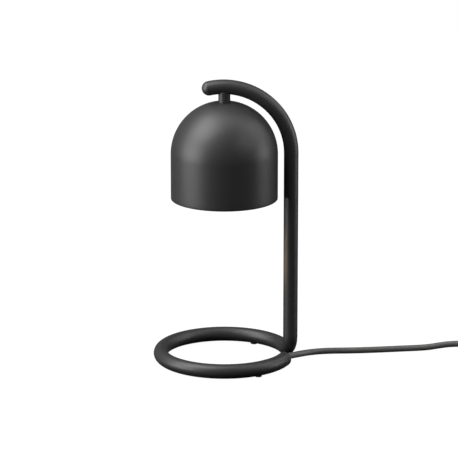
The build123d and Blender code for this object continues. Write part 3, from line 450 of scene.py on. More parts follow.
@dataclass(frozen=True)
class ClearMoulding(Finish):
    """Clear moulded plastic.

    Args:
        tint: Its colour.
        roughness: How cloudy it is.
        ripple: Size of its faint ripples.
        depth: Height of the ripples.
    """

    tint: Colour = (0.9, 0.95, 0.9, 1.0)
    roughness: float = 0.12
    ripple: float = 3 * MM
    depth: float = 0.02 * MM

    def shade(self, graph: Graph) -> None:
        """Shades clear plastic with a faint ripple.

        Args:
            graph: The material's empty graph.
        """
        ripple = graph.noise(graph.place(), self.ripple, 1.0)
        graph.surface(
            Base_Color=self.tint,
            Roughness=self.roughness + 0.04 * ripple,
            Transmission_Weight=1.0,
            IOR=1.47,
            Normal=graph.bump(ripple, self.depth),
        )


@dataclass(frozen=True)
class Pane(Finish):
    """Thin clear glass that light passes straight through.

    Args:
        veil: How much of what is behind it is hidden.
        roughness: How cloudy it is.
        ripple: Size of the ripples that pressing left.
        depth: Height of the ripples.
    """

    veil: float = 0.2
    roughness: float = 0.04
    ripple: float = 3 * MM
    depth: float = 0.02 * MM

    def shade(self, graph: Graph) -> None:
        """Shades a dark veil with sharp reflections.

        Args:
            graph: The material's empty graph.
        """
        ripple = graph.noise(graph.place(), self.ripple, 1.0)
        graph.surface(
            Base_Color=grey(0.04),
            Roughness=self.roughness + 0.04 * ripple,
            Specular_IOR_Level=1.0,
            Alpha=self.veil,
            Normal=graph.bump(ripple, self.depth),
        )


@dataclass(frozen=True)
class BoardFilm(Finish):
    """Green solder resist over copper tracks.

    Args:
        board: The green between the tracks.
        copper: The green over the tracks.
        track: Size of the tracks.
        depth: How far the tracks stand out.
    """

    board: Colour = (0.012, 0.07, 0.025, 1.0)
    copper: Colour = (0.03, 0.14, 0.05, 1.0)
    track: float = 2.2 * MM
    depth: float = 0.03 * MM

    def shade(self, graph: Graph) -> None:
        """Shades tracks that stand out a little.

        Args:
            graph: The material's empty graph.
        """
        tracks = graph.cells(graph.place(), self.track).above(0.42)
        graph.surface(
            Base_Color=graph.blend(tracks, self.board, self.copper),
            Roughness=0.3 + 0.1 * tracks,
            Normal=graph.bump(tracks, self.depth),
        )


COAT = PowderCoat("powder_coat")
NYLON = Moulding("black_nylon")
SATIN = Moulding("satin_case", grey(0.014), grey(0.02), 0.4, 0.45 * MM, 0.015 * MM, parting=8 * MM)
PRINT = Moulding("pale_print", grey(0.62), grey(0.7), 0.55)
RUBBER = Moulding("soft_rubber", grey(0.02), grey(0.03), 0.72, 0.5 * MM, 0.02 * MM, 0.35)
BUTTON = Moulding("button_cap", grey(0.1), grey(0.13), 0.45)
JACKET = Jacket("lead_jacket")
SLEEVE = Moulding("wire_sleeve", (0.1, 0.03, 0.015, 1), (0.16, 0.05, 0.02, 1), 0.55)
ZINC = Metal("plated_steel", grey(0.55, 0.02), grey(0.38, 0.04), 0.3)
BRASS = Metal("contact_brass", (0.72, 0.55, 0.26, 1), (0.5, 0.36, 0.16, 1), 0.25)
NICKEL = Metal("nickel", grey(0.66, 0.03), grey(0.5, 0.04), 0.18)
MIRROR = Metal("aluminised_glass", grey(0.88, 0.01), grey(0.82, 0.01), 0.06)
TUNGSTEN = Metal("tungsten", grey(0.4, 0.05), grey(0.3, 0.05), 0.4, 6.0)
STEATITE = Ceramic("steatite")
CLEAR = Pane("clear_glass")
PIPE = ClearMoulding("light_pipe")
PACKAGE = Moulding("dark_package", grey(0.012), grey(0.018), 0.4)
FILM = BoardFilm("circuit_board")

NODE_FINISHES: dict[Finish, tuple[str, ...]] = {
    COAT: ("frame_tube", "arm_end_cap", "shade_stem"),
    NYLON: ("ring_end_bushing", "cord_clamps"),
    SATIN: ("control_base", "control_cover"),
    JACKET: ("jacket_in_ring", "jackets_in_control", "jacket_in_plug"),
    SLEEVE: ("lead_wires", "holder_tails", "control_cores"),
    ZINC: ("threaded_nipple", "shade_washer", "lock_nuts", "holder_bracket", "holder_screws",
           "clamp_screws", "crimp_sleeves", "cord_grip", "potentiometer", "dimmer_shaft"),
    BRASS: ("holder_contacts",),
    NICKEL: ("bulb_pins",),
    TUNGSTEN: ("bulb_filament",),
    STEATITE: ("lamp_holder", "bulb_base"),
    CLEAR: ("bulb_capsule",),
    PIPE: ("light_pipes", "indicator_leds"),
    PACKAGE: ("tactile_switches", "power_plunger", "timer_plunger", "triac", "filter_parts"),
    FILM: ("control_board",),
}


# ---- Objects ----
def linked(name: str, data: bpy.types.ID) -> bpy.types.Object:
    """Makes an object and puts it in the scene.

    Args:
        name: The object's name.
        data: Its mesh, curve, light or camera.

    Returns:
        The object.
    """
    thing = bpy.data.objects.new(name, data)
    bpy.context.scene.collection.objects.link(thing)
    return thing


def dressed(name: str, data: bpy.types.ID, finish: Finish, body: Body) -> bpy.types.Object:
    """Makes a piece of the object.

    Args:
        name: The piece's name.
        data: Its mesh or curve.
        finish: Its finish.
        body: The body that carries it.

    Returns:
        The piece.
    """
    data.materials.append(finish.material())
    piece = linked(name, data)
    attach(piece, body.value)
    return piece


# ---- Lead ----
@dataclass(frozen=True)
class Coil:
    """The wound length of the lead: turns beside each other, with fewer turns in the gaps above.

    Args:
        centre: The winding's centre on the table.
        lower_radii: Radius of each turn of the lower layer, in winding order.
        upper_radii: Radius of each turn of the upper layer, in winding order.
        lower_height: Height of the lower turns' centre.
        upper_height: Height of the upper turns' centre.
        lead_radius: Radius of the lead.
        points: Control points in a turn.
        overrun: Control points past the last whole turn.
        crossing: The share of a turn in which it steps over to the next.
    """

    centre: tuple[float, float] = (390 * MM, -30 * MM)
    lower_radii: tuple[float, ...] = (45.2 * MM, 38.0 * MM, 30.8 * MM)
    upper_radii: tuple[float, ...] = (34.4 * MM, 41.6 * MM)
    lower_height: float = 4.1 * MM
    upper_height: float = 10.3 * MM
    lead_radius: float = 3.5 * MM
    points: int = 16
    overrun: int = 2
    crossing: float = 0.4

    def turns(self) -> Outline:
        """The radius and height of each turn, in winding order."""
        lower = [(radius, self.lower_height) for radius in self.lower_radii]
        return lower + [(radius, self.upper_height) for radius in self.upper_radii]

    def route(self) -> list[Vector]:
        """Winds the turns clockwise from the side that faces +X.

        Returns:
            The control points, which stand outside the turns so that the curve lies on them.
        """
        turns = self.turns()
        bulge = 1 / cos(pi / self.points)
        route = []
        for step in range(1, self.points * len(turns) + self.overrun + 1):
            turn, part = divmod(step, self.points)
            turn = min(turn, len(turns) - 1)
            (radius, height), (next_radius, next_height) = turns[turn], turns[min(turn + 1, len(turns) - 1)]
            share = max(0.0, (part / self.points - 1 + self.crossing) / self.crossing)
            radius = (radius + (next_radius - radius) * share) * bulge
            height += (next_height - height) * share
            angle = -FULL_TURN * step / self.points
            x, y = (middle + radius * way(angle) for middle, way in zip(self.centre, (cos, sin)))
            route.append(Vector((x, y, height)))
        return route


@dataclass(frozen=True)
class MainsLead:
    """The lead's two free stretches, each one smooth curve.

    Args:
        diameter: The jacket's diameter.
        coil: The wound length.
    """

    diameter: float = 7.0 * MM
    coil: Coil = field(default_factory=Coil)

    LAMP_ROUTE = [
        (65.52, -25.64, 9.0),
        (68.88, -17.72, 9.0),
        (74.5, -8.9, 7.5),
        (82.2, 0.9, 5.8),
        (91.6, 10.2, 4.5),
        (103.9, 17.0, 3.7),
        (119.2, 19.9, 3.5),
        (142.0, 19.8, 3.5),
        (171.0, 22.0, 3.5),
        (200.0, 25.6, 3.5),
        (226.0, 27.2, 3.9),
        (241.0, 27.0, 6.3),
        (253.5, 27.0, 8.0),
        (266.0, 27.0, 8.0),
    ]
    CONTROL_ROUTE = [
        (378.0, 27.0, 8.0),
        (391.0, 27.0, 8.0),
        (404.5, 25.4, 6.7),
        (417.0, 20.5, 5.0),
        (427.4, 11.9, 4.1),
        (433.0, 0.0, 4.1),
        (435.5, -14.0, 4.1),
    ]
    PLUG_ROUTE = [
        (379.0, -71.7, 10.8),
        (370.0, -69.6, 10.7),
        (361.5, -67.0, 8.8),
        (356.5, -66.0, 8.0),
        (352.0, -66.0, 8.0),
    ]

    def curve(self, name: str, route: Sequence[Point]) -> bpy.types.Object:
        """A round jacket along a route.

        Args:
            name: The piece's name.
            route: The control points.

        Returns:
            The curve object, riding on the lamp.
        """
        data = bpy.data.curves.new(name, "CURVE")
        data.dimensions = "3D"
        spline = data.splines.new("NURBS")
        spline.points.add(len(route) - 1)
        for target, point in zip(spline.points, route):
            target.co = (*point, 1.0)
        spline.order_u = 3
        spline.use_endpoint_u = True
        spline.resolution_u = 8
        data.bevel_depth = self.diameter / 2
        data.bevel_resolution = 6
        data.use_fill_caps = True
        LOG.info("%s: %d control points", name, len(route))
        return dressed(name, data, JACKET, Body.LAMP)

    def build(self) -> None:
        route = [Vector(p) * MM for p in self.LAMP_ROUTE]
        near = self.curve("lead_to_control", route)
        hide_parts("cord_lamp_run")
        start, end = ([Vector(p) * MM for p in route] for route in (self.CONTROL_ROUTE, self.PLUG_ROUTE))
        far = self.curve("lead_to_plug", start + self.coil.route() + end)
        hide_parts("cord_control_run", "cord_coil", "cord_plug_run")


# ---- Forms ----
WELD = 0.0005  # millimetres within which two points are one
EDGE_STEPS = 6  # steps round a small round edge


def arc(centre: Point, radius: float, start: float, end: float, steps: int) -> Outline:
    """Points along an arc in a plane, from one angle in degrees to another."""
    angles = [radians(start + (end - start) * i / steps) for i in range(steps + 1)]
    return [(centre[0] + radius * cos(a), centre[1] + radius * sin(a)) for a in angles]


def arc_through(start: Point, middle: Point, end: Point, steps: int) -> Outline:
    """Finds the arc that passes through three points.

    Args:
        start: The first point.
        middle: A point between.
        end: The last point.
        steps: Steps along the arc.

    Returns:
        Points along the arc.
    """
    (ax, ay), (bx, by), (cx, cy) = start, middle, end
    doubled = 2 * (ax * (by - cy) + bx * (cy - ay) + cx * (ay - by))
    squares = [x * x + y * y for x, y in (start, middle, end)]
    x = (squares[0] * (by - cy) + squares[1] * (cy - ay) + squares[2] * (ay - by)) / doubled
    y = (squares[0] * (cx - bx) + squares[1] * (ax - cx) + squares[2] * (bx - ax)) / doubled
    first, last = (degrees(atan2(p[1] - y, p[0] - x)) for p in (start, end))
    last += 360 * round((first - last) / 360)
    return arc((x, y), hypot(ax - x, ay - y), first, last, steps)


def rounded(width: float, height: float, corner: float, steps: int) -> Outline:
    """Draws a rectangle with round corners about its middle.

    Args:
        width: Its size along X.
        height: Its size along Y.
        corner: The corners' radius.
        steps: Steps round each corner.

    Returns:
        Its outline.
    """
    x, y = width / 2 - corner, height / 2 - corner
    corners = (((x, y), 0), ((-x, y), 90), ((-x, -y), 180), ((x, -y), 270))
    return [p for centre, angle in corners for p in arc(centre, corner, angle, angle + 90, steps)]


def stroke(line: Outline, width: float) -> Outline:
    """Widens a line into a band.

    Args:
        line: The points along the band's middle.
        width: The band's width.

    Returns:
        The band's outline.
    """
    left, right = [], []
    for i, (x, y) in enumerate(line):
        (ax, ay), (bx, by) = line[max(i - 1, 0)], line[min(i + 1, len(line) - 1)]
        run = hypot(bx - ax, by - ay)
        nx, ny = (ay - by) / run * width / 2, (bx - ax) / run * width / 2
        left.append((x + nx, y + ny))
        right.append((x - nx, y - ny))
    return left + right[::-1]


def at(x: float = 0.0, y: float = 0.0, z: float = 0.0) -> Matrix:
    """A move."""
    return Matrix.Translation((x, y, z))


class Form:
    """A closed form under construction, in millimetres."""

    def __init__(self) -> None:
        """Starts with nothing."""
        self.shape = bmesh.new()

    def ring(self, points: Iterable[Point]) -> tuple[list, list]:
        """Adds a closed ring, and returns its vertices and its edges."""
        verts = [self.shape.verts.new(p) for p in points]
        return verts, [self.shape.edges.new(pair) for pair in zip(verts, verts[1:] + verts[:1])]

    def lathe(self, profile: Outline, steps: int) -> "Form":
        """Spins a closed profile a full turn about Z.

        Args:
            profile: The radius and height of each point.
            steps: Steps round the turn.

        Returns:
            The form itself.
        """
        verts, edges = self.ring((r, 0, z) for r, z in profile)
        bmesh.ops.spin(self.shape, geom=verts + edges, cent=(0, 0, 0), axis=(0, 0, 1),
                       angle=FULL_TURN, steps=steps, use_merge=True)
        return self

    def loft(self, sections: Iterable[Iterable[Point]], closed: bool = False) -> "Form":
        """Bridges a row of rings that have the same number of points.

        Args:
            sections: The rings' points.
            closed: Whether the last ring joins the first. Otherwise both ends are filled.

        Returns:
            The form itself.
        """
        rings = [self.ring(section)[1] for section in sections]
        for near, far in zip(rings, rings[1:] + (rings[:1] if closed else [])):
            bmesh.ops.bridge_loops(self.shape, edges=near + far)
        if not closed:
            for end in (rings[0], rings[-1]):
                bmesh.ops.contextual_create(self.shape, geom=end)
        return self

    def plate(self, outer: Outline, inner: Outline, low: float, high: float) -> "Form":
        """Adds a flat plate with one hole, between two heights. Both outlines have as many points."""
        edges = [edge for outline in (outer, inner) for edge in self.ring((x, y, low) for x, y in outline)[1]]
        return self.raised(bmesh.ops.bridge_loops(self.shape, edges=edges)["faces"], high - low)

    def sheet(self, outline: Outline, low: float, high: float) -> "Form":
        """Adds a flat sheet between two heights."""
        edges = self.ring((x, y, low) for x, y in outline)[1]
        return self.raised(bmesh.ops.contextual_create(self.shape, geom=edges)["faces"], high - low)

    def raised(self, faces: list, height: float) -> "Form":
        """Thickens flat faces upwards.

        Args:
            faces: The faces.
            height: Their thickness.

        Returns:
            The form itself.
        """
        made = bmesh.ops.extrude_face_region(self.shape, geom=faces, use_keep_orig=True)["geom"]
        verts = [part for part in made if isinstance(part, bmesh.types.BMVert)]
        bmesh.ops.translate(self.shape, vec=(0, 0, height), verts=verts)
        return self

    def place(self, matrix: Matrix) -> "Form":
        """Moves all that is there."""
        bmesh.ops.transform(self.shape, matrix=matrix, verts=self.shape.verts[:])
        return self

    def add(self, other: "Form", *matrices: Matrix) -> "Form":
        """Adds copies of another form, which ends there.

        Args:
            other: The form that is copied.
            matrices: Where each copy goes.

        Returns:
            The form itself.
        """
        mesh = bpy.data.meshes.new("part")
        other.shape.to_mesh(mesh)
        other.shape.free()
        for matrix in matrices:
            known = len(self.shape.verts)
            self.shape.from_mesh(mesh)
            bmesh.ops.transform(self.shape, matrix=matrix, verts=self.shape.verts[known:])
        bpy.data.meshes.remove(mesh)
        return self

    def piece(self, name: str, finish: Finish, body: Body, slot: Slot, *nodes: str,
              sharp: float = 35.0) -> None:
        """Ends the form as a piece of the object.

        Args:
            name: The piece's name.
            finish: Its finish.
            body: The body that carries it.
            slot: Its material slot; not used.
            nodes: The solids that it stands for.
            sharp: Angle in degrees from which an edge looks sharp.
        """
        shape = self.shape
        bmesh.ops.remove_doubles(shape, verts=shape.verts[:], dist=WELD)
        bmesh.ops.delete(shape, geom=[edge for edge in shape.edges if not edge.link_faces], context="EDGES")
        bmesh.ops.recalc_face_normals(shape, faces=shape.faces[:])
        bmesh.ops.scale(shape, vec=(MM, MM, MM), verts=shape.verts[:])
        for face in shape.faces:
            face.smooth = True
        mesh = bpy.data.meshes.new(name)
        shape.to_mesh(mesh)
        shape.free()
        mesh.set_sharp_from_angle(angle=radians(sharp))
        piece = dressed(name, mesh, finish, body)
        if nodes:
            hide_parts(*nodes)
        LOG.info("%s: %d faces", name, len(mesh.polygons))


# ---- Shade and feet ----
@dataclass(frozen=True)
class Shade:
    """The spun shade, with a seat softened at its edge and a round rim.

    Args:
        radius: Its outer radius.
        wall: Its thickness.
        top: Height of its flat seat.
        dome: Height of the dome's centre.
        rim: Height of its lower edge.
        seat_radius: Radius of the flat seat.
        seat_blend: How much of the seat's edge is softened, inwards in millimetres.
        dome_blend: How much of the dome's edge is softened, in degrees.
        hole_radius: Radius of the hole for the nipple.
        dome_band: How far the dome's centre is above the first row of the straight side.
        rim_band: How far the last row of the straight side is above the rim.
    """

    radius: float = 58.5
    wall: float = 1.0
    top: float = 292.537
    dome: float = 234.898
    rim: float = 185.198
    seat_radius: float = 10.0
    seat_blend: float = 0.6
    dome_blend: float = 0.6
    hole_radius: float = 5.1
    dome_band: float = 20.0
    rim_band: float = 4.0

    STEPS_ROUND = 192
    STEPS_DOWN = 56
    STEPS_RIM = 8

    def build(self) -> None:
        """Spins the shade."""
        inner, lip, seat = self.radius - self.wall, self.wall / 2, self.top - self.wall
        lean = degrees(asin(self.seat_radius / self.radius))
        inside = degrees(acos((seat - self.dome) / inner))
        rows = (self.dome - self.dome_band, self.rim + self.rim_band)
        profile = [(self.hole_radius, self.top), (self.seat_radius - self.seat_blend, self.top)]
        profile += arc((0, self.dome), self.radius, 90 - self.dome_blend - lean, 0, self.STEPS_DOWN)
        profile += [(self.radius, z) for z in rows]
        profile += arc((self.radius - lip, self.rim + lip), lip, 0, -180, self.STEPS_RIM)
        profile += [(inner, z) for z in reversed(rows)]
        profile += arc((0, self.dome), inner, 0, 90 - inside, self.STEPS_DOWN)
        profile += [(self.hole_radius, seat)]
        shade = Form().lathe(profile, self.STEPS_ROUND)
        shade.piece("spun_shade", COAT, Body.LAMP, Slot.COAT, "shade_shell")


@dataclass(frozen=True)
class Feet:
    """Three rubber buttons under the ring, with round lower edges and a barbed peg each.

    Args:
        ring_radius: Radius of the ring's centreline.
        radius: A foot's radius.
        rounding: Radius of its lower edge.
        pad_top: Height where its side meets the ring.
    """

    ring_radius: float = 70.326
    radius: float = 4.0
    rounding: float = 0.9
    pad_top: float = 2.05

    STEPS = 40
    HOLLOW = ((0, 0.12), (2.2, 0.1), (2.5, 0))  # radius and height, under the foot
    PEG = ((2.0, 2.9), (2.6, 3.1), (2.4, 4.0), (0, 4.1))  # radius and height, from its neck to its tip
    PLACES = {"front": -60.0, "back": 60.0, "left": 180.0}  # degrees round the ring

    def build(self) -> None:
        """Turns one foot for each place."""
        profile = [*self.HOLLOW]
        profile += arc((self.radius - self.rounding, self.rounding), self.rounding, -90, 0, EDGE_STEPS)
        profile += [(self.radius, self.pad_top), (self.PEG[0][0], self.pad_top), *self.PEG]
        for name, angle in self.PLACES.items():
            spot = at(self.ring_radius * cos(radians(angle)), self.ring_radius * sin(radians(angle)))
            foot = Form().lathe(profile, self.STEPS).place(spot)
            foot.piece(f"rubber_foot_{name}", RUBBER, Body.LAMP, Slot.RUBBER, f"foot_{name}")


# ---- Bulb ----
@dataclass(frozen=True)
class Bulb:
    """The reflector bulb's facetted glass and its front.

    Args:
        top: Height of the base's top.
        length: From the base's top to the front.
        radius: Radius of the front.
        lens: Thickness of the front glass.
        neck_radius: Radius where the reflector leaves the base.
        base_height: Height of the base.
        glass: Thickness of the reflector.
        bow: How far its side bows out of a straight cone.
        facets: Facets round the reflector.
        bead: Radius of the front glass's outer edge.
    """

    top: float = 260.137
    length: float = 52.0
    radius: float = 25.0
    lens: float = 2.4
    neck_radius: float = 13.5
    base_height: float = 15.0
    glass: float = 1.6
    bow: float = 3.2
    facets: int = 40
    bead: float = 1.1

    SIDE_STEPS = (12, 8)  # outside and inside
    FRONT_STEPS = 96
    HOLLOW = ((0, 0.5), (21.4, 0.7), (22.0, 0.4), (22.6, 0))  # radius, and rise over the glass's front

    def side(self, shrink: float, steps: int) -> Outline:
        """Draws the reflector's side from its neck to its front.

        Args:
            shrink: How far it is moved in.
            steps: Steps along it.

        Returns:
            The side's points.
        """
        neck = (self.neck_radius - shrink, self.top - self.base_height - shrink)
        front = (self.radius - shrink, self.top - self.length + self.lens)
        middle = ((neck[0] + front[0]) / 2 + self.bow, (neck[1] + front[1]) / 2)
        return arc_through(neck, middle, front, steps)

    def build(self) -> None:
        """Spins the reflector and the front glass."""
        outer, inner = (self.side(*each) for each in zip((0, self.glass), self.SIDE_STEPS))
        profile = [(0, outer[0][1])] + outer + inner[::-1] + [(0, inner[0][1])]
        reflector = Form().lathe(profile, self.facets)
        reflector.piece("facetted_reflector", MIRROR, Body.BULB, Slot.MIRROR, "bulb_reflector", sharp=4.0)
        front = self.top - self.length
        profile = [(r, front + rise) for r, rise in self.HOLLOW]
        profile += arc((self.radius - self.bead, front + self.bead), self.bead, -90, 0, EDGE_STEPS)
        profile += [(self.radius, front + self.lens), (0, front + self.lens)]
        glass = Form().lathe(profile, self.FRONT_STEPS)
        glass.piece("front_glass", CLEAR, Body.BULB, Slot.GLASS, "bulb_lens")


# ---- In-line control ----
@dataclass(frozen=True)
class StrainRelief:
    """A ribbed sleeve that tapers along the lead.

    Args:
        name: The solid that it stands for.
        length: From its root to its tip.
        way: Matrix that puts its root in place and turns it along the lead.
        collar: Its profile behind the root, where it is held.
        root: Radius at the root.
        tip: Radius at the tip.
        bore: Radius of its bore.
        pitch: From one rib to the next.
    """

    name: str
    length: float
    way: Matrix
    collar: tuple[tuple[float, float], ...] = ()
    root: float = 5.4
    tip: float = 4.2
    bore: float = 3.55
    pitch: float = 2.6

    STEPS = 56
    # Each point's share of a rib's length, and of the way from the bore to the outside.
    RIB = ((0.03, 0.85), (0.1, 1.0), (0.55, 1.0), (0.62, 0.85), (0.7, 0.35), (0.93, 0.35))
    MOUTH = ((0.1, 0.5), (0.3, 0))  # in from the tip's radius, and back from its end

    def build(self) -> None:
        """Turns the sleeve with its ribs."""
        profile, ribs = list(self.collar) + [(self.root, 0.0)], int(self.length / self.pitch)
        for i in range(ribs):
            for share, rise in self.RIB:
                along = (i + share) / ribs
                outside = self.root + (self.tip - self.root) * along
                profile.append((self.bore + (outside - self.bore) * rise, along * self.length))
        profile += [(self.tip - inwards, self.length - back) for inwards, back in self.MOUTH]
        profile += [(self.bore, self.length), (self.bore, profile[0][1])]
        sleeve = Form().lathe(profile, self.STEPS).place(self.way)
        sleeve.piece(f"ribbed_{self.name}", RUBBER, Body.LAMP, Slot.RUBBER, self.name)


@dataclass(frozen=True)
class Dial:
    """The dimmer's dial: a plain foot, a grooved grip, a dished top and a pale pointer.

    Args:
        centre: Where its axis is.
        radius: Radius of its foot.
        low: Height of its underside.
        top: Height of its top.
        shaft_radius: Radius of the shaft in it.
        shaft_top: Height that the shaft reaches.
        inset: How far the grip stands back from the foot.
        edge: Radius of its upper edge.
        floor: Depth of the dished top.
        grooves: Grooves round the grip.
        groove_depth: Depth of a groove.
        groove_low: How far above the underside the grooves start.
        groove_reach: How far in from the foot's radius they reach.
        groove_fade: Over how much of that they fade in.
        pointer: Width, length and corner radius of the pointer.
        pointer_depths: How far its top and its underside are below the dial's top.
        pointer_offset: From the axis to its middle.
        swing: How far the dial turns each way, in degrees.
    """

    centre: tuple[float, float] = (308.0, 27.0)
    radius: float = 12.5
    low: float = 18.4
    top: float = 23.9
    shaft_radius: float = 3.0
    shaft_top: float = 22.4
    inset: float = 0.15
    edge: float = 0.85
    floor: float = 0.45
    grooves: int = 24
    groove_depth: float = 0.75
    groove_low: float = 1.0
    groove_reach: float = 1.2
    groove_fade: float = 0.6
    pointer: tuple[float, float, float] = (1.1, 6.6, 0.5)
    pointer_depths: tuple[float, float] = (0.22, 0.9)
    pointer_offset: float = 6.4
    swing: float = 140.0

    GROOVE_STEPS = 10
    POINTER_STEPS = 4
    FOOT = ((0.2, 0), (0, 0.2), (0, 0.9), (0.15, 1.1))  # in from the radius, and up from the underside
    GRIP_TOP = 1.2  # below the top
    LIP = ((1.9, 0), (2.5, 0.35))  # in from the radius, and down from the top

    def grooved(self, dial: Form) -> Form:
        """Presses the grooves into the grip.

        Args:
            dial: The plain dial.

        Returns:
            The same form.
        """
        inside = self.radius - self.groove_reach
        for vert in dial.shape.verts:
            distance = hypot(vert.co.x, vert.co.y)
            if vert.co.z > self.low + self.groove_low and distance > inside:
                wave = 0.5 + 0.5 * cos(self.grooves * atan2(vert.co.y, vert.co.x))
                sunk = self.groove_depth * wave**3 * min(1.0, (distance - inside) / self.groove_fade)
                vert.co.xy *= 1 - sunk / distance
        return dial

    def build(self) -> None:
        """Spins the dial, grooves it and inlays its pointer."""
        r, low, top, grip = self.radius, self.low, self.top, self.radius - self.inset
        profile = [(self.shaft_radius, low)]
        profile += [(r - inwards, low + up) for inwards, up in self.FOOT] + [(grip, top - self.GRIP_TOP)]
        profile += arc((grip - self.edge, top - self.edge), self.edge, 0, 90, EDGE_STEPS)
        profile += [(r - inwards, top - down) for inwards, down in self.LIP] + [(0, top - self.floor)]
        profile += [(0, self.shaft_top), (self.shaft_radius, self.shaft_top)]
        dial = self.grooved(Form().lathe(profile, self.GROOVE_STEPS * self.grooves))
        dial.place(at(*self.centre))
        dial.piece("grooved_dial", NYLON, Body.DIAL, Slot.MOULDING, "dimmer_dial")
        depth, root = self.pointer_depths
        pointer = Form().sheet(rounded(*self.pointer, self.POINTER_STEPS), top - root, top - depth)
        pointer.place(at(self.centre[0], self.centre[1] + self.pointer_offset))
        pointer.piece("dial_pointer", PRINT, Body.DIAL, Slot.CAP)


@dataclass(frozen=True)
class Buttons:
    """The two push buttons, with dished tops and round edges.

    Args:
        y: Where their axes are.
        radius: Radius of a cap.
        top: Height of a cap's top.
        edge: Radius of its upper edge.
    """

    y: float = 27.0
    radius: float = 4.0
    top: float = 19.2
    edge: float = 0.6

    STEPS = 64
    PLACES = {Body.POWER: 327.5, Body.TIMER: 340.0}
    # Radius and height, then radius and depth below the top.
    STEM = ((0, 10.0), (2.0, 10.0), (2.0, 15.15), (5.2, 15.15), (5.2, 15.95), (4.0, 15.95))
    DISH = ((2.9, 0.08), (1.4, 0.24), (0, 0.27))

    def build(self) -> None:
        """Spins one button for each place."""
        profile = [*self.STEM]
        profile += arc((self.radius - self.edge, self.top - self.edge), self.edge, 0, 90, EDGE_STEPS)
        profile += [(radius, self.top - depth) for radius, depth in self.DISH]
        for body, x in self.PLACES.items():
            button = Form().lathe(profile, self.STEPS).place(at(x, self.y))
            button.piece(f"{body.value}_cap", BUTTON, body, Slot.CAP, f"{body.value}_button")


@dataclass(frozen=True)
class Marks:
    """The pale marks: the dial's scale, the signs by the buttons and bars by the lights.

    Args:
        dial: The dial that the scale goes round.
        buttons: The buttons that the signs stand beside.
        cover: Height of the cover.
        sunk: How far the marks reach into the cover.
        rise: How far they stand out.
        scale: Marks of the scale.
        scale_ends: From the dial's axis to both ends of the first mark.
        scale_width: Width of the first mark.
        scale_growth: How much longer and wider each mark is than the one before it.
        sign_offset: From a button's middle to its sign.
        sign_width: Width of a sign's circle.
        bar_width: Width of a bar.
        bar_ends: Where the bars start and end.
        bar_pitch: From one bar to the next.
    """

    dial: Dial
    buttons: Buttons
    cover: float = 18.0
    sunk: float = 0.1
    rise: float = 0.06
    scale: int = 11
    scale_ends: tuple[float, float] = (13.0, 13.5)
    scale_width: float = 0.2
    scale_growth: tuple[float, float] = (0.05, 0.045)
    sign_offset: float = 7.6
    sign_width: float = 0.4
    bar_width: float = 0.35
    bar_ends: tuple[float, float] = (34.1, 35.5)
    bar_pitch: float = 0.9

    LIGHTS = (329.0, 335.0, 341.0)  # where the three lights are
    # Each sign about its middle: its circle's radius, angles and steps, and its lines' ends and widths.
    SIGNS = {
        Body.POWER: ((1.5, 125, 415, 28), [((0, 0.3), (0, 1.9), 0.4)]),
        Body.TIMER: ((1.7, 91, 449, 36), [((-0.2, 0), (0.9, 0), 0.35), ((0, -0.15), (0, 1.15), 0.35)]),
    }

    def scale_lines(self) -> Strokes:
        """Draws the scale, whose marks grow longer and wider with the power.

        Returns:
            Each mark's line and width.
        """
        (x, y), swing, lines = self.dial.centre, self.dial.swing, []
        (near, far), (longer, wider) = self.scale_ends, self.scale_growth
        for i in range(self.scale):
            angle = radians(90 + swing - 2 * swing * i / (self.scale - 1))
            ends = [(x + cos(angle) * r, y + sin(angle) * r) for r in (near, far + longer * i)]
            lines.append((ends, self.scale_width + wider * i))
        return lines

    def signs(self) -> Strokes:
        """Draws the broken circle of the power button and the clock of the timer button.

        Returns:
            Each line and its width.
        """
        lines, y = [], self.buttons.y - self.sign_offset
        for body, (circle, strokes) in self.SIGNS.items():
            x = self.buttons.PLACES[body]
            lines.append((arc((x, y), *circle), self.sign_width))
            lines += [([(x + u, y + v) for u, v in ends], width) for *ends, width in strokes]
        return lines

    def bars(self) -> Strokes:
        """Draws one bar by the first light, two by the second and three by the third.

        Returns:
            Each bar's line and width.
        """
        lines = []
        for i, middle in enumerate(self.LIGHTS):
            places = [middle + (j - i / 2) * self.bar_pitch for j in range(i + 1)]
            lines += [([(x, end) for end in self.bar_ends], self.bar_width) for x in places]
        return lines

    def build(self) -> None:
        """Raises all marks from the cover."""
        marks = Form()
        for line, width in self.scale_lines() + self.signs() + self.bars():
            marks.sheet(stroke(line, width), self.cover - self.sunk, self.cover + self.rise)
        marks.piece("control_print", PRINT, Body.LAMP, Slot.CAP)


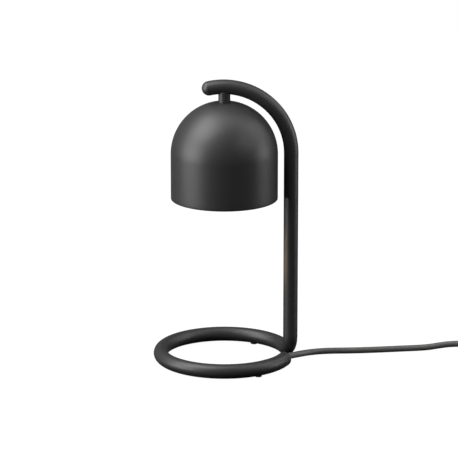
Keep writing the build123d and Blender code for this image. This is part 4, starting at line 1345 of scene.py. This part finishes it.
@dataclass(frozen=True)
class CaseScrews:
    """The four screws in the control's underside, with cross recesses.

    Args:
        centre: The middle between them.
        along: From the middle to a screw, along the control.
        across: From the middle to a screw, across it.
        face: Height of the screw's face.
        recess: Height that the recess reaches.
        arm: From the axis to the end of the recess's arm.
        half: Half the arm's width.
        rim: Radius where the flat face ends.
    """

    centre: tuple[float, float]
    along: float = 28.0
    across: float = 11.0
    face: float = 0.2
    recess: float = 1.1
    arm: float = 1.25
    half: float = 0.32
    rim: float = 1.71

    STEPS = 48
    # Radius and height.
    HEAD = ((1.7, 0.2), (2.0, 0.28), (2.1, 0.45), (2.1, 1.4))
    SHANK = ((1.2, 1.4), (1.2, 11.6), (0.9, 12.0), (0, 12.0), (0, 1.1), (1.7, 1.1))

    def build(self) -> None:
        """Spins one screw, closes its face round the recess and copies it."""
        corner = [(self.half, self.arm), (-self.half, self.arm), (-self.half, self.half)]
        cross = []
        for _ in range(4):
            cross += corner
            corner = [(-y, x) for x, y in corner]
        rim = [(self.rim * x / hypot(x, y), self.rim * y / hypot(x, y)) for x, y in cross]
        screw = Form().lathe([*self.HEAD, *self.SHANK], self.STEPS)
        screw.plate(rim, cross, self.face, self.recess)
        middle, sides = at(*self.centre), (-1, 1)
        places = [middle @ at(sx * self.along, sy * self.across) for sx in sides for sy in sides]
        Form().add(screw, *places).piece("cross_screws", ZINC, Body.LAMP, Slot.STEEL, "control_screws")


@dataclass(frozen=True)
class Control:
    """The in-line dimmer's visible fittings.

    Args:
        centre: Its middle on the table.
        axis: Height of the lead.
        half_length: Half its length.
        wall: Thickness of its shells.
        relief: Length of a strain relief.
        root: Radius of a strain relief's root.
        neck: Its radius in the shell's wall.
        flange: How far its root reaches in past the half length.
    """

    centre: tuple[float, float] = (322.0, 27.0)
    axis: float = 8.0
    half_length: float = 36.0
    wall: float = 1.8
    relief: float = 20.0
    root: float = 5.4
    neck: float = 4.3
    flange: float = 3.3

    def reliefs(self) -> None:
        """Puts a ribbed sleeve on each end."""
        collar = ((self.root, -self.flange), (self.root, -self.wall), (self.neck, -self.wall), (self.neck, 0))
        for name, side in (("relief_lamp_side", -1), ("relief_plug_side", 1)):
            end = at(self.centre[0] + side * self.half_length, self.centre[1], self.axis)
            StrainRelief(name, self.relief, end @ Matrix.Rotation(side * pi / 2, 4, "Y"), collar).build()

    def build(self) -> None:
        """Builds all of the fittings."""
        dial, buttons = Dial(), Buttons()
        dial.build()
        buttons.build()
        Marks(dial, buttons).build()
        self.reliefs()
        CaseScrews(self.centre).build()


# ---- Plug and strap ----
@dataclass(frozen=True)
class Plug:
    """The moulded plug with finger grips, its relief and its two blades.

    Args:
        front: Where its face is.
        back: Where its relief starts.
        y: Where its axis is.
        axis: Height of its axis.
        width: Its width.
        height: Its height.
        corner: Radius of its long edges.
        flat: What is left flat of half its height, at least.
        relief: Length of its relief.
        grips: Grooves for the fingers.
        grip_start: From the face to the first groove.
        grip_pitch: From one groove to the next.
        blade_offset: From its axis to a blade.
        blade_width: A blade's width.
        blade_thickness: A blade's thickness.
        blade_ends: A blade's tip and its root in the body.
        blade_hole: Radius of the hole in a blade.
        hole_offset: From a blade's tip to the hole's middle.
        chamfer: How much of a tip's corner is cut off, along and across.
    """

    front: float = 302.0
    back: float = 330.0
    y: float = -66.0
    axis: float = 8.0
    width: float = 24.0
    height: float = 16.0
    corner: float = 3.8
    flat: float = 1.2
    relief: float = 22.0
    grips: int = 5
    grip_start: float = 4.6
    grip_pitch: float = 2.3
    blade_offset: float = 6.35
    blade_width: float = 6.35
    blade_thickness: float = 1.5
    blade_ends: tuple[float, float] = (284.5, 310.0)
    blade_hole: float = 1.6
    hole_offset: float = 4.2
    chamfer: tuple[float, float] = (1.4, 1.6)

    # The body's sections: how far behind the face, and how much less wide and less tall than the body.
    FACE = ((0, 1.6, 1.6), (0.35, 0.7, 0.7), (1.1, 0, 0), (3.4, 0, 0), (4.0, 1.0, 0.5))
    GRIP = ((0, 2.6, 0.6), (0.6, 2.6, 0.6), (1.1, 1.3, 0.6), (1.8, 1.3, 0.6))
    TAIL = ((16.6, 1.4, 0.6), (27.2, 5.3, 5.2), (27.8, 5.9, 5.8), (28.0, 6.8, 6.7))
    # A blade's hole has as many points as its outline, which therefore has two more on each long edge.
    HOLE_ANGLES = (15, 45, 75, 105, 140, 180, 220, 255, 285, 315, 345, 0)
    EDGE_POINTS = (8.0, 5.0)  # from the tip

    def body(self) -> None:
        """Skins the body along its axis: face, shoulder, grips and taper."""
        starts = [self.grip_start + self.grip_pitch * i for i in range(self.grips)]
        grips = [(start + along, wide, tall) for start in starts for along, wide, tall in self.GRIP]
        sections = []
        for along, less_wide, less_tall in (*self.FACE, *grips, *self.TAIL):
            width, height = self.width - less_wide, self.height - less_tall
            outline = rounded(width, height, min(self.corner, height / 2 - self.flat), EDGE_STEPS)
            sections.append([(self.front + along, self.y + u, self.axis + v) for u, v in outline])
        plug = Form().loft(sections)
        plug.piece("gripped_plug", NYLON, Body.LAMP, Slot.MOULDING, "plug_body", sharp=50.0)

    def blades(self) -> None:
        """Cuts both blades from plate, each with a hole and chamfered corners."""
        (tip, root), half, thick = self.blade_ends, self.blade_width / 2, self.blade_thickness / 2
        along, across = self.chamfer
        edge = [(root, half), *((tip + way, half) for way in self.EDGE_POINTS)]
        edge += [(tip + along, half), (tip, half - across)]
        outer = edge + [(tip, 0)] + [(x, -y) for x, y in reversed(edge)] + [(root, 0)]
        angles = [radians(angle) for angle in self.HOLE_ANGLES]
        middle, radius = tip + self.hole_offset, self.blade_hole
        inner = [(middle + radius * cos(angle), radius * sin(angle)) for angle in angles]
        blade = Form().plate(outer, inner, -thick, thick)
        turn = Matrix.Rotation(pi / 2, 4, "X")
        places = [at(0, self.y + side * self.blade_offset, self.axis) @ turn for side in (-1, 1)]
        Form().add(blade, *places).piece("drilled_blades", NICKEL, Body.LAMP, Slot.CONTACT, "plug_blades")

    def build(self) -> None:
        """Builds the plug, its blades and its relief."""
        self.body()
        self.blades()
        root = at(self.back, self.y, self.axis) @ Matrix.Rotation(pi / 2, 4, "Y")
        StrainRelief("plug_relief", self.relief, root).build()


@dataclass(frozen=True)
class Strap:
    """A strap drawn tight round the coil's turns, with its end lapped over.

    Args:
        coil: The wound length.
        angle: Where it crosses the coil, in degrees.
        width: Its width.
        thickness: Its thickness.
        gap: From the turns to the strap.
        edge: How much narrower its outside is, on each side.
        steps: Sections round the turns.
        lap: First and last section of the lapped end.
    """

    coil: Coil
    angle: float = 135.0
    width: float = 12.0
    thickness: float = 0.55
    gap: float = 0.02
    edge: float = 0.15
    steps: int = 120
    lap: tuple[int, int] = (6, 34)

    def section(self, step: int, low: float) -> list[Point]:
        """Cuts the strap where it faces one way from the turns.

        Args:
            step: The step round the turns that gives the way.
            low: How far from the turns its inside is.

        Returns:
            The corners of its cross section.
        """
        half, angle = self.width / 2, FULL_TURN * step / self.steps
        x, z = cos(angle), sin(angle)
        turns = [(radius / MM, height / MM) for radius, height in self.coil.turns()]
        radius, height = max(turns, key=lambda turn: turn[0] * x + turn[1] * z)
        near = self.coil.lead_radius / MM + low
        far = near + self.thickness
        (ax, az), (bx, bz) = ((radius + r * x, height + r * z) for r in (near, far))
        return [(ax, -half, az), (ax, half, az), (bx, half - self.edge, bz), (bx, self.edge - half, bz)]

    def build(self) -> None:
        """Bridges the strap round the turns and adds its lapped end."""
        band = Form().loft([self.section(i, self.gap) for i in range(self.steps)], closed=True)
        band.loft([self.section(i, self.gap + self.thickness) for i in range(*self.lap)])
        centre = at(*(c / MM for c in self.coil.centre))
        band.place(centre @ Matrix.Rotation(radians(self.angle), 4, "Z"))
        band.piece("lapped_strap", NYLON, Body.LAMP, Slot.MOULDING, "coil_tie")


# ---- Studio ----
def stand_round(thing: bpy.types.Object, aim: Vector, azimuth: float, elevation: float,
                distance: float) -> None:
    """Puts a light or the camera somewhere round a point, and turns it towards that point.

    Args:
        thing: The light or the camera.
        aim: The point.
        azimuth: Where it stands, in degrees from the front towards +X.
        elevation: How high it stands, in degrees.
        distance: How far from the point.
    """
    a, e = radians(azimuth), radians(elevation)
    way = Vector((sin(a) * cos(e), -cos(a) * cos(e), sin(e)))
    thing.location = aim + way * distance
    thing.rotation_mode = "QUATERNION"
    thing.rotation_quaternion = (-way).to_track_quat("-Z", "Y")


@dataclass(frozen=True)
class Softbox:
    """A rectangular light.

    Args:
        name: The light's name.
        azimuth: Where it stands, in degrees from the front towards +X.
        elevation: How high it stands, in degrees.
        distance: How far from the lamp's middle.
        size: Its width and height.
        power: Its strength in watts.
        colour: Its colour.
        aim: The point that it faces, if it isn't the studio's target.
    """

    name: str
    azimuth: float
    elevation: float
    distance: float
    size: tuple[float, float]
    power: float
    colour: tuple[float, float, float] = (1.0, 1.0, 1.0)
    aim: Optional[tuple[float, float, float]] = None

    def build(self, target: Vector) -> None:
        """Hangs the light so that it faces its aim or the studio's target.

        Args:
            target: The studio's target.
        """
        data = bpy.data.lights.new(self.name, "AREA")
        data.shape = "RECTANGLE"
        data.size, data.size_y = self.size
        data.energy = self.power
        data.color = self.colour
        light = linked(self.name, data)
        light.visible_camera = False
        aim = Vector(self.aim) if self.aim else target
        stand_round(light, aim, self.azimuth, self.elevation, self.distance)


@dataclass(frozen=True)
class Studio:
    """The floor, the lights and the camera.

    Args:
        target: The point that the camera looks at.
        azimuth: The camera's azimuth in degrees.
        elevation: The camera's elevation in degrees.
        distance: The camera's distance from the target.
        lens: The focal length in millimetres, on a 36 mm sensor.
        floor_size: Width of the floor.
        floor_glow: Light that the pale floor gives by itself.
        ambient: Strength of the room's even light, level with the lamp and above it.
        ambient_below: Its strength straight below the lamp.
        fade: The heights, as sines of the elevation, between which it fades.
    """

    target: Vector = field(default_factory=lambda: Vector((5.07, -0.155, 150.3)) * MM)
    azimuth: float = -1.75
    elevation: float = 15.1
    distance: float = 3.5
    lens: float = 251.1
    floor_size: float = 40.0
    floor_glow: float = 0.98
    ambient: float = 0.13
    ambient_below: float = 0.01
    fade: tuple[float, float] = (-0.6, -0.2)

    SOFTBOXES = (
        Softbox("left_low", -75.0, 5.0, 1.6, (1.25, 0.8), 24.5),
        Softbox("left_middle", -77.0, 36.0, 1.6, (1.2, 0.8), 17.6),
        Softbox("left_high", -75.0, 60.0, 1.6, (1.2, 0.9), 22.5),
        Softbox("left_back", -120.0, 62.0, 1.6, (0.7, 0.8), 4.0),
        Softbox("right_low", 90.0, 5.0, 1.6, (0.7, 0.8), 8.6),
        Softbox("right_middle", 90.0, 38.0, 1.6, (0.7, 0.8), 4.6),
        Softbox("right_high", 90.0, 62.0, 1.6, (0.7, 0.8), 3.6),
        Softbox("right_back", 122.0, 30.0, 1.6, (0.7, 0.8), 2.6),
        Softbox("front_right", 50.0, 35.0, 1.6, (0.7, 0.8), 3.6),
        Softbox("top", 0.0, 88.0, 1.6, (0.7, 0.8), 4.8),
        Softbox("warm_glow", -90.0, -22.0, 0.06, (0.06, 0.05), 0.018, (1.0, 0.66, 0.36), (0.0736, 0, 0.127)),
    )

    def floor(self) -> None:
        """A pale floor that takes faint shadows and throws no light back at the lamp."""
        mesh = bpy.data.meshes.new("floor")
        shape = bmesh.new()
        bmesh.ops.create_grid(shape, x_segments=1, y_segments=1, size=self.floor_size / 2)
        shape.to_mesh(mesh)
        shape.free()
        floor = linked("floor", mesh)
        pale = bpy.data.materials.new("pale_floor")
        Graph(pale).surface(Base_Color=grey(0.05), Roughness=0.9, Specular_IOR_Level=0.0,
                            Emission_Color=grey(1.0), Emission_Strength=self.floor_glow)
        mesh.materials.append(pale)
        floor.visible_diffuse = False
        floor.visible_glossy = False

    def camera(self) -> None:
        """The long lens in front of the lamp."""
        data = bpy.data.cameras.new("camera")
        data.lens = self.lens
        data.clip_end = 100.0
        camera = linked("camera", data)
        stand_round(camera, self.target, self.azimuth, self.elevation, self.distance)
        bpy.context.scene.camera = camera

    def room(self) -> None:
        """The room's even light, which hardly comes from below the lamp."""
        world = bpy.data.worlds.new("studio")
        graph = Graph(world)
        way = graph.node("ShaderNodeTexCoord", output="Generated")
        height = graph.node("ShaderNodeSeparateXYZ", None, {"Vector": way}, "Z")
        strength = self.ambient_below + (self.ambient - self.ambient_below) * height.ramp(*self.fade)
        light = graph.node("ShaderNodeBackground", None, {"Color": grey(1.0), "Strength": strength})
        graph.end(light, "ShaderNodeOutputWorld")
        bpy.context.scene.world = world

    def build(self) -> None:
        """Sets up the whole studio."""
        bpy.context.scene.view_settings.view_transform = "Standard"
        self.room()
        self.floor()
        for softbox in self.SOFTBOXES:
            softbox.build(self.target)
        self.camera()
        LOG.info("studio: %d softboxes", len(self.SOFTBOXES))


def dress_nodes(nodes: dict[str, bpy.types.Object]) -> None:
    """Gives each carried-over solid its finish.

    Args:
        nodes: The frame's objects by name.
    """
    for finish, names in NODE_FINISHES.items():
        for name in names:
            nodes[name].data.materials.clear()
            nodes[name].data.materials.append(finish.material())
        LOG.info("%s: on %s", finish.name, ", ".join(names))


def main() -> None:
    """Dresses the lamp, lays its lead and sets up the studio."""
    logging.basicConfig(level=logging.INFO, format="%(name)s: %(message)s")
    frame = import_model()
    dress_nodes(frame["nodes"])
    lead = MainsLead()
    for assembly in (Shade(), Feet(), Bulb(), Control(), Plug(), Strap(lead.coil), lead):
        assembly.build()
    Studio().build()


if __name__ == "__main__":
    main()
